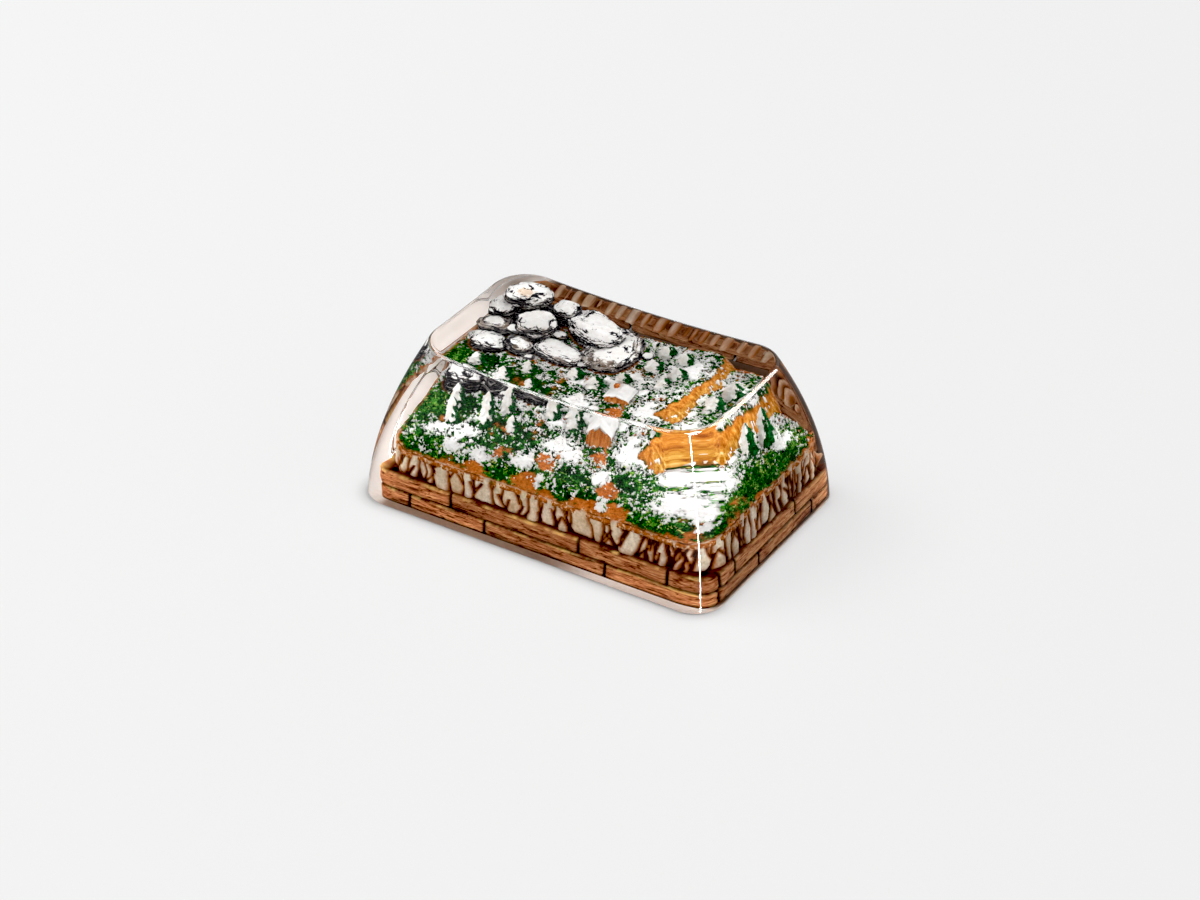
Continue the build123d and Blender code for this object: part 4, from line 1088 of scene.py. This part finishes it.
def stone_attrs(d, unit, f, strata, capped):
    w, lay, side = stone_shape(d, unit, strata)
    up = normals(w, f)[:, 2]
    o = d[8] * 5.1
    n1 = fbm(w[:, 0] * 0.8 + o, w[:, 1] * 0.8, w[:, 2] * 0.8, seed=221, octaves=3)
    cap = 0.74 + 1.5 * (up - 0.92 + 0.55 * capped) + 0.55 * n1 - 0.35 * strata * side
    # painted shade: darker near the other stones, close to the soil and on faces that look down
    contact_shade = np.zeros(len(w))
    for e in list(BOULDERS.values()) + list(PEBBLES):
        if e is d:
            continue
        r = np.linalg.norm(to_local(e, w), axis=1)
        gap = (r - 1) * min(e[3:6])
        contact_shade = np.maximum(contact_shade, (1 - sst(0.02, 0.55, gap)) * sst(1.0, 0.65, up))
    clear = w[:, 2] - soil(w[:, 0], w[:, 1])
    contact_shade = np.maximum(contact_shade, 1 - sst(0.10, 0.65, clear))
    contact_shade = np.maximum(contact_shade, sst(0.50, -0.15, up))
    q = to_local(d, w)
    tint = np.exp(-((q[:, 0] + 0.05) ** 2 + (q[:, 1] + 0.25) ** 2) / 0.20) * (q[:, 2] > 0) if d[8] == 1 else np.zeros(len(w))
    saw = np.mod(lay * 4.6, 1.0)
    line = np.exp(-(np.minimum(saw, 1 - saw) / 0.11) ** 2) * side * min(1.0, 1.4 * strata)
    fleck = 0.85 * sst(0.90, 0.4, up) + 0.6 * n1 + 1.2 * tint * (1 - tint) + 0.75 * line
    return w, {"cap": cap, "lay": lay, "contact_shade": contact_shade, "tint": tint, "fleck": fleck}


STRATA = {"boulder_great_slab": 0.8, "boulder_strata_slab": 1.0, "boulder_front_slab": 0.6, "boulder_small_grey": 0.5,
          "boulder_left_foot": 0.35, "boulder_left_ledge": 0.7, "boulder_left_shoulder": 0.25, "boulder_round": 0.1,
          "boulder_right_knob": 0.2, "boulder_summit": 0.3}
CAPPED = {"boulder_great_slab": 0.95, "boulder_strata_slab": 0.12, "boulder_front_slab": 0.30, "boulder_small_grey": -0.25,
          "boulder_left_foot": 0.6, "boulder_left_ledge": -0.25, "boulder_left_shoulder": 0.8, "boulder_round": 0.75,
          "boulder_right_knob": 0.65, "boulder_summit": 0.7}
for name, d in BOULDERS.items():
    w, at = stone_attrs(d, ICO5[0], ICO5[1], STRATA[name], CAPPED[name])
    ob = add_piece(name + "_look", w, ICO5[1], [ROCK], attrs=at)
    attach(ob, "root")
    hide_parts(name)
bag = Bag(("cap", "lay", "contact_shade", "tint", "fleck"))
for d in PEBBLES:
    w, at = stone_attrs(d, ICO4[0], ICO4[1], 0.2, 0.5)
    bag.add(w, ICO4[1], 0, **at)
pebbles = bag.piece("pebbles_look", [ROCK])
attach(pebbles, "root")
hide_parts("pebbles")


# ------------------------------------------------------------------ moss: many small leaves and crumbs in cushions
def moss_height(x, y):
    return 0.30 * sst(-0.1, 0.9, moss_amount(x, y)) * (0.75 + 0.5 * noise(x * 2.3, y * 2.3, seed=301))


tries = 90000
mx = rng.uniform(CX0, CX1, tries)
my = rng.uniform(CY0, CY1, tries)
am = moss_amount(mx, my)
ok = (edge_distance(mx, my) > 0.06) & (rng.uniform(0, 1, tries) < sst(-0.15, 0.45, am))
mx, my, am = mx[ok][:19500], my[ok][:19500], am[ok][:19500]
hm = moss_height(mx, my)
lift = rng.uniform(0.0, 1.0, len(mx)) ** 0.6
mz = soil(mx, my) + hm * lift + 0.02
OCT = np.array([(1, 0, 0), (-1, 0, 0), (0, 1, 0), (0, -1, 0), (0, 0, 1), (0, 0, -1)], float)
OCF = np.array([(0, 2, 4), (2, 1, 4), (1, 3, 4), (3, 0, 4), (2, 0, 5), (1, 2, 5), (3, 1, 5), (0, 3, 5)])
k = len(mx)
size = rng.uniform(0.05, 0.11, k)
sc = np.stack([size * rng.uniform(0.7, 2.0, k), size * rng.uniform(0.4, 0.9, k), size * rng.uniform(0.25, 0.6, k)], -1)
ax = rng.uniform(0, 2 * math.pi, k)
el = rng.uniform(-0.3, 1.3, k)
ro = rng.uniform(0, 2 * math.pi, k)
a = np.stack([np.cos(el) * np.cos(ax), np.cos(el) * np.sin(ax), np.sin(el)], -1)
t = np.stack([-np.sin(ax), np.cos(ax), np.zeros(k)], -1)
b = np.cross(a, t)
t2 = t * np.cos(ro)[:, None] + b * np.sin(ro)[:, None]
b2 = np.cross(a, t2)
pts = OCT[None] * sc[:, None, :]
v = (np.stack([mx, my, mz], -1)[:, None] + pts[:, :, 0:1] * a[:, None] + pts[:, :, 1:2] * t2[:, None] + pts[:, :, 2:3] * b2[:, None]).reshape(-1, 3)
f = (OCF[None] + (np.arange(k) * 6)[:, None, None]).reshape(-1, 3)
# painted shade and highlight: crumbs low in a cushion come out darker, and the clumps near the band's edge and towards
# the right come out lighter
inner = sst(1.2, 3.2, edge_distance(mx, my)) * sst(6.5, 4.5, mx)
hue = 0.70 - 0.30 * inner + 0.35 * fbm(mx * 0.9, my * 0.9, seed=311) + 0.45 * noise(mx * 3.2, my * 3.2, seed=313) + rng.normal(0, 0.22, k)
tone = np.clip(0.02 + 0.80 * lift * hue + 0.30 * (rng.uniform(0, 1, k) > 0.94), 0, 1)
moss = add_piece("moss_turf_look", v, f.tolist(), [MOSSM], smooth=False, attrs={"tone": np.repeat(tone, 6)})
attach(moss, "root")
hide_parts("moss_turf")


# ------------------------------------------------------------------ snow: ragged patches and loose flakes
STEP = 0.068
gx = np.arange(CX0, CX1 + STEP, STEP)
gy = np.arange(CY0, CY1 + STEP, STEP)
X, Y = np.meshgrid(gx, gy, indexing="ij")
Xj = X + 0.02 * (_hash(np.floor(X * 91), np.floor(Y * 91), np.zeros(X.shape), 401) - 0.5)
Yj = Y + 0.02 * (_hash(np.floor(X * 91), np.floor(Y * 91), np.ones(X.shape), 403) - 0.5)
level = snow_amount(X, Y)
on = level > 0
cell = on[:-1, :-1] & on[1:, :-1] & on[1:, 1:] & on[:-1, 1:]
used = np.zeros(X.shape, bool)
for a_ in (0, 1):
    for b_ in (0, 1):
        used[a_:X.shape[0] - 1 + a_, b_:X.shape[1] - 1 + b_] |= cell
num = -np.ones(X.shape, int)
num[used] = np.arange(used.sum())
cnt = int(used.sum())
floor_z = soil(Xj, Yj) + np.maximum(moss_height(X, Y), 0) * 0.75
thick = 0.05 + 0.16 * np.clip(level, 0, 0.8) + 0.05 * noise(X * 4.1, Y * 4.1, seed=411)
top = floor_z + np.maximum(thick, 0.03)
v = np.stack([Xj[used], Yj[used], top[used]], -1)
vb = v.copy()
vb[:, 2] = (floor_z - 0.05)[used]
f, count = [], {}
for i, j in zip(*np.nonzero(cell)):
    q = (int(num[i, j]), int(num[i + 1, j]), int(num[i + 1, j + 1]), int(num[i, j + 1]))
    f.append(q)
    for a_, b_ in zip(q, q[1:] + q[:1]):
        count[(a_, b_)] = 1
f += [tuple(k_ + cnt for k_ in reversed(q)) for q in list(f)]
for a_, b_ in list(count):
    if (b_, a_) not in count:
        f.append((b_, a_, a_ + cnt, b_ + cnt))
crumbs = 90000
sx, sy = rng.uniform(CX0, CX1, crumbs), rng.uniform(CY0, CY1, crumbs)
near = snow_amount(sx, sy)
ok = (edge_distance(sx, sy) > 0.12) & (bank(sx, sy) < 0.1) & (rng.uniform(0, 1, crumbs) < 0.23 * sst(-0.55, -0.05, near) * (1 - sst(0.10, 0.30, near)) * (0.35 + 0.65 * sst(-4.6, -2.8, sy)) * sst(10.5, 9.0, sx))
sx, sy = sx[ok][:5200], sy[ok][:5200]
k = len(sx)
size = rng.uniform(0.035, 0.085, k)
sc = np.stack([size * rng.uniform(0.9, 1.9, k), size * rng.uniform(0.5, 1.0, k), size * rng.uniform(0.4, 0.8, k)], -1)
ax, el, ro = rng.uniform(0, 2 * math.pi, k), rng.uniform(-0.3, 0.9, k), rng.uniform(0, 2 * math.pi, k)
a = np.stack([np.cos(el) * np.cos(ax), np.cos(el) * np.sin(ax), np.sin(el)], -1)
t = np.stack([-np.sin(ax), np.cos(ax), np.zeros(k)], -1)
b = np.cross(a, t)
t2 = t * np.cos(ro)[:, None] + b * np.sin(ro)[:, None]
b2 = np.cross(a, t2)
TET = np.array([(1, 1, 1), (1, -1, -1), (-1, 1, -1), (-1, -1, 1)], float)
TEF = np.array([(0, 1, 2), (0, 3, 1), (0, 2, 3), (1, 3, 2)])
pts = TET[None] * sc[:, None, :]
sz = soil(sx, sy) + np.maximum(moss_height(sx, sy), 0) * 0.9 + 0.05
crumb = (np.stack([sx, sy, sz], -1)[:, None] + pts[:, :, 0:1] * a[:, None] + pts[:, :, 1:2] * t2[:, None] + pts[:, :, 2:3] * b2[:, None]).reshape(-1, 3)
f += (TEF[None] + (np.arange(k) * 4)[:, None, None] + 2 * cnt).reshape(-1, 3).tolist()
snow = add_piece("snow_patches_look", np.vstack([v, vb, crumb]), f, [SNOWM], smooth=True)
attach(snow, "root")
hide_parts("snow_patches")

# ------------------------------------------------------------------ conifers and cabin
def conifer(x0, y0, h, r, seed):
    """Ragged tiers of boughs round a stem, snow white on the side towards the light and at the tip: partly snow, partly
    painted light, with painted shade at the foot.
    """
    nr, nc = 46, 40
    t, a = np.meshgrid(np.linspace(0, 1, nr), np.arange(nc) / nc * 2 * np.pi, indexing="ij")
    tiers = 5 if h > 2.0 else 4
    k = np.floor(np.minimum(t * tiers, tiers - 1e-6))
    fr = t * tiers - k
    lobes = 0.5 + 0.5 * np.cos(a * 6 + k * 2.1 + seed + 1.2 * noise(np.cos(a) * 1.3, np.sin(a) * 1.3, k + seed, seed=501))
    flare = np.clip(1 - fr, 0, 1) ** 1.2
    rad = 1.22 * r * np.clip(1 - t ** 2.2, 0, 1) ** 0.6 * (0.74 + (0.12 + 0.26 * lobes) * flare)
    cx_, cy_ = np.cos(a), np.sin(a)
    rad = rad * (1 + 0.30 * noise(cx_ * 2.6 + seed, cy_ * 2.6, t * h * 3.2, seed=503) + 0.14 * noise(cx_ * 6 + seed, cy_ * 6, t * h * 8, seed=505)) + 0.015
    z0 = float(soil(np.array([x0]), np.array([y0]))[0]) - 0.15
    z = z0 + (h + 0.15) * t - 0.07 * h * lobes * flare * (1 - t)
    v = np.stack([x0 + rad * cx_, y0 + rad * cy_, z], -1).reshape(-1, 3)
    # painted light: whiter towards the key lamp's side and the tip, with painted shade near the foot
    lit = 0.52 + 0.62 * np.cos(a - math.radians(212)) + 0.22 * flare * (1 - lobes * 0.3) + 0.35 * noise(cx_ * 2 + seed, cy_ * 2, t * h * 4, seed=507)
    lit = lit - 0.7 * sst(0.34, 0.10, t) + 0.25 * sst(0.7, 0.95, t)
    f = strip_faces(nr, nc)
    n0, e = len(v), (nr - 1) * nc
    v = np.vstack([v, [[x0, y0, z0], [x0, y0, z0 + h + 0.15]]])
    f += [(n0, (c + 1) % nc, c) for c in range(nc)] + [(n0 + 1, e + c, e + (c + 1) % nc) for c in range(nc)]
    return v, f, np.concatenate([np.clip(lit, 0, 1).ravel(), [0.0, 1.0]])


forest = Bag(("snow",))
for k, (x0, y0, h, r) in enumerate(TREES):
    v, f, lit = conifer(x0, y0, h, r, 3.7 * k)
    forest.add(v, f, 0, snow=lit)
trees = forest.piece("pine_trees_look", [tree_material()])
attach(trees, "root")
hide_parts("pine_trees")

hut = Bag(())
turn = math.radians(CABIN_TURN)
half = CABIN_W / 2
hut_z = float(np.min(ground(CABIN_X + np.array([-half, half, half, -half]), CABIN_Y + np.array([-1, -1, 1, 1]) * CABIN_D / 2))) - 0.05


def set_down(u, v, w):
    return np.stack([CABIN_X + u * math.cos(turn) - v * math.sin(turn), CABIN_Y + u * math.sin(turn) + v * math.cos(turn), hut_z + w], -1)


def pitch(u):
    return CABIN_RIDGE - (CABIN_RIDGE - CABIN_EAVES) * np.abs(u) / half


# walls: a front and a back gable, each a row of upright boards
nu, nw_ = 49, 14
uu = np.linspace(-half, half, nu)
loop_u = np.concatenate([uu, uu[::-1]])
groove = 0.035 * (1 - sst(0.0, 0.10, np.abs(np.mod(loop_u + half + 0.15, 0.30) - 0.15)))
loop_v = np.concatenate([np.full(nu, -CABIN_D / 2), np.full(nu, CABIN_D / 2)]) + np.concatenate([np.full(nu, 1.0), np.full(nu, -1.0)]) * groove
rows = []
for i in range(nw_):
    t = i / (nw_ - 1)
    wob = 0.012 * noise(loop_u * 5, np.full(2 * nu, t * 6), loop_v, seed=521)
    rows.append(set_down(loop_u, loop_v + wob * np.sign(loop_v), -0.2 + (pitch(loop_u) + 0.2) * t))
v = np.vstack(rows)
f = strip_faces(nw_, 2 * nu)
e = (nw_ - 1) * 2 * nu
for c in range(nu - 1):
    f.append((e + c, e + c + 1, e + 2 * nu - 2 - c, e + 2 * nu - 1 - c))
    f.append((c, 2 * nu - 1 - c, 2 * nu - 2 - c, c + 1))
hut.add(v, f, 0)
# snow on the roof, thick and rounded, with icicles along its borders
nu, nd = 61, 49
uu, vv = np.meshgrid(np.linspace(-half - 0.06, half + 0.06, nu), np.linspace(-CABIN_D / 2 - 0.05, CABIN_D / 2 + 0.05, nd), indexing="ij")
rim_ = np.minimum(half + 0.06 - np.abs(uu), CABIN_D / 2 + 0.05 - np.abs(vv))
puff = sst(0.0, 0.22, rim_)
up_ = set_down(uu, vv, pitch(uu) + 0.02 + 0.15 * puff + 0.10 * (0.4 + noise(uu * 3, vv * 3, seed=523)) * puff)
ice = np.clip(0.05 + 1.5 * noise(uu * 6.3, vv * 6.3, seed=525), 0, 1) * sst(0.05, 0.0, rim_)
down_ = set_down(uu, vv, pitch(uu) - 0.03 - 0.26 * ice)
v = np.vstack([up_.reshape(-1, 3), down_.reshape(-1, 3)])
ids = np.arange(nu * nd).reshape(nu, nd)
f, m = [], nu * nd
for i in range(nu - 1):
    for j in range(nd - 1):
        q = (int(ids[i, j]), int(ids[i + 1, j]), int(ids[i + 1, j + 1]), int(ids[i, j + 1]))
        f += [q, tuple(k + m for k in reversed(q))]
ring_ = [int(ids[i, 0]) for i in range(nu)] + [int(ids[nu - 1, j]) for j in range(1, nd)] + [int(ids[i, nd - 1]) for i in range(nu - 2, -1, -1)] + [int(ids[0, j]) for j in range(nd - 2, 0, -1)]
for a_, b_ in zip(ring_, ring_[1:] + ring_[:1]):
    f.append((b_, a_, a_ + m, b_ + m))
hut.add(v, f, 1)
# chimney of rough stones
nc, nr = 24, 12
a = np.arange(nc) / nc * 2 * np.pi
sq = 0.15 / np.maximum(np.abs(np.cos(a)), np.abs(np.sin(a))) ** 0.9
rows = []
for i in range(nr):
    t = i / (nr - 1)
    rr = sq * (1 + 0.12 * noise(np.cos(a) * 2, np.sin(a) * 2, np.full(nc, t * 5), seed=527)) * (1.12 if i >= nr - 3 else 1.0)
    rows.append(set_down(-0.42 + rr * np.cos(a), 0.3 + rr * np.sin(a), np.full(nc, CABIN_RIDGE - 0.45 + 0.9 * t)))
v = np.vstack(rows + [set_down(np.array([-0.42, -0.42]), np.array([0.3, 0.3]), np.array([CABIN_RIDGE - 0.45, CABIN_RIDGE + 0.47]))])
e, n0 = (nr - 1) * nc, nr * nc
f = strip_faces(nr, nc) + [(n0, (c + 1) % nc, c) for c in range(nc)] + [(n0 + 1, e + c, e + (c + 1) % nc) for c in range(nc)]
hut.add(v, f, 0)
cabin = hut.piece("cabin_look", [cabin_material(), SNOWM])
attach(cabin, "root")
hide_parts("cabin")

# ------------------------------------------------------------------ floor, light, camera
fl = bpy.data.meshes.new("floor")
R = 3.0
fl.from_pydata([(-R, -R, -0.00003), (R, -R, -0.00003), (R, R, -0.00003), (-R, R, -0.00003)], [], [(0, 1, 2, 3)])
fl.materials.append(floor_material())
floor = bpy.data.objects.new("floor", fl)
bpy.context.scene.collection.objects.link(floor)
floor.visible_glossy = False

world = bpy.data.worlds.new("studio")
bpy.context.scene.world = world
world.use_nodes = True
wt = world.node_tree
bg = wt.nodes["Background"]
tc = wt.nodes.new("ShaderNodeTexCoord")
# a pale tent with a dark card behind the object, where its dished top mirrors the room
dot = wt.nodes.new("ShaderNodeVectorMath")
dot.operation = "DOT_PRODUCT"
dot.inputs[1].default_value = (-0.441, 0.711, 0.548)
wr = wt.nodes.new("ShaderNodeValToRGB")
wt.links.new(tc.outputs["Generated"], dot.inputs[0])
wt.links.new(dot.outputs["Value"], wr.inputs[0])
el = wr.color_ramp.elements
el[0].position, el[0].color = 0.86, (1.0, 1.0, 1.0, 1)
el[1].position, el[1].color = 0.93, (0.28, 0.28, 0.28, 1)
sep = wt.nodes.new("ShaderNodeSeparateXYZ")
wt.links.new(tc.outputs["Generated"], sep.inputs[0])
half_up = wt.nodes.new("ShaderNodeMath")
half_up.operation = "MULTIPLY_ADD"
half_up.inputs[1].default_value, half_up.inputs[2].default_value = 0.5, 0.5
wt.links.new(sep.outputs["Z"], half_up.inputs[0])
lower_room = wt.nodes.new("ShaderNodeValToRGB")
wt.links.new(half_up.outputs[0], lower_room.inputs[0])
el = lower_room.color_ramp.elements
el[0].position, el[0].color = 0.47, (0.30, 0.30, 0.30, 1)
el[1].position, el[1].color = 0.50, (1.0, 1.0, 1.0, 1)
room = wt.nodes.new("ShaderNodeMix")
room.data_type = "RGBA"
room.blend_type = "MULTIPLY"
room.inputs[0].default_value = 1.0
wt.links.new(wr.outputs[0], room.inputs[6])
wt.links.new(lower_room.outputs[0], room.inputs[7])
wt.links.new(room.outputs[2], bg.inputs["Color"])
bg.inputs["Strength"].default_value = 0.72


def area(name, loc, target, size, power):
    la = bpy.data.lights.new(name, "AREA")
    la.shape = "RECTANGLE"
    la.size, la.size_y = size
    la.energy = power
    ob = bpy.data.objects.new(name, la)
    bpy.context.scene.collection.objects.link(ob)
    ob.location = loc
    ob.rotation_euler = (Vector(target) - Vector(loc)).to_track_quat("-Z", "Y").to_euler()
    return ob


area("key", (-0.27, -0.10, 0.42), (0, 0, 0.004), (0.34, 0.30), 2.8)
glossy = bpy.data.collections.new("gloss_receivers")
bpy.context.scene.collection.children.link(glossy)
glossy.objects.link(cap)
back_aim = math.radians(52.0)
back_at = (0.34 * math.cos(back_aim), 0.34 * math.sin(back_aim), 0.20)
behind_light = area("behind", back_at, (0, 0, 0.004), (0.16, 0.40), 13 * math.pi * 0.064)
aim = math.radians(-41.0)
strip = area("strip", (0.30 * math.cos(aim), 0.30 * math.sin(aim), 0.04), (0, 0, 0.004), (0.016, 0.52), 70 * math.pi * 0.016 * 0.52)
rim_light = area("rim", back_at, (0, 0, 0.004), (0.16, 0.40), 40 * math.pi * 0.064)
side = math.radians(-22.0)
corner = area("corner", (0.16 * math.cos(side), 0.16 * math.sin(side), 0.24), (0, 0, 0.004), (0.14, 0.14), 24 * math.pi * 0.0196)
low = math.radians(20.0)
ahead = math.radians(-78.0)
front_light = area("front", (0.36 * math.cos(ahead) * math.cos(low), 0.36 * math.sin(ahead) * math.cos(low), 0.36 * math.sin(low)), (0, 0, 0.004), (0.30, 0.18), 7 * math.pi * 0.054)
front_light.visible_glossy = False
for lamp in (behind_light, front_light, strip, rim_light, corner):
    lamp.light_linking.receiver_collection = glossy
for lamp in (strip, rim_light, corner):
    lamp.visible_diffuse = False
    lamp.visible_transmission = False

az, elv, dist = math.radians(31.789), math.radians(33.267), 0.21283
bk = Vector((math.sin(az) * math.cos(elv), -math.cos(az) * math.cos(elv), math.sin(elv)))
rt = Vector((math.cos(az), math.sin(az), 0.0))
upv = bk.cross(rt)
target = Vector((0, 0, 0.005)) + rt * 0.0000988 + upv * -0.0013491
cam_data = bpy.data.cameras.new("camera")
cam_data.sensor_width = 36.0
cam_data.lens = 14.9132 * 212.83 / 1200 * 36.0
cam_data.clip_start = 0.01
cam = bpy.data.objects.new("camera", cam_data)
bpy.context.scene.collection.objects.link(cam)
m = Matrix((rt, upv, bk)).transposed().to_4x4()
m.translation = target + bk * dist
cam.matrix_world = m
sc_ = bpy.context.scene
sc_.camera = cam
sc_.view_settings.view_transform = "Standard"
sc_.view_settings.look = "None"
sc_.view_settings.use_curve_mapping = True
sc_.view_settings.curve_mapping.black_level = (0.025, 0.025, 0.025)
sc_.cycles.max_bounces = 16
sc_.cycles.transmission_bounces = 16
sc_.cycles.glossy_bounces = 8
sc_.cycles.caustics_refractive = True
sc_.cycles.caustics_reflective = True
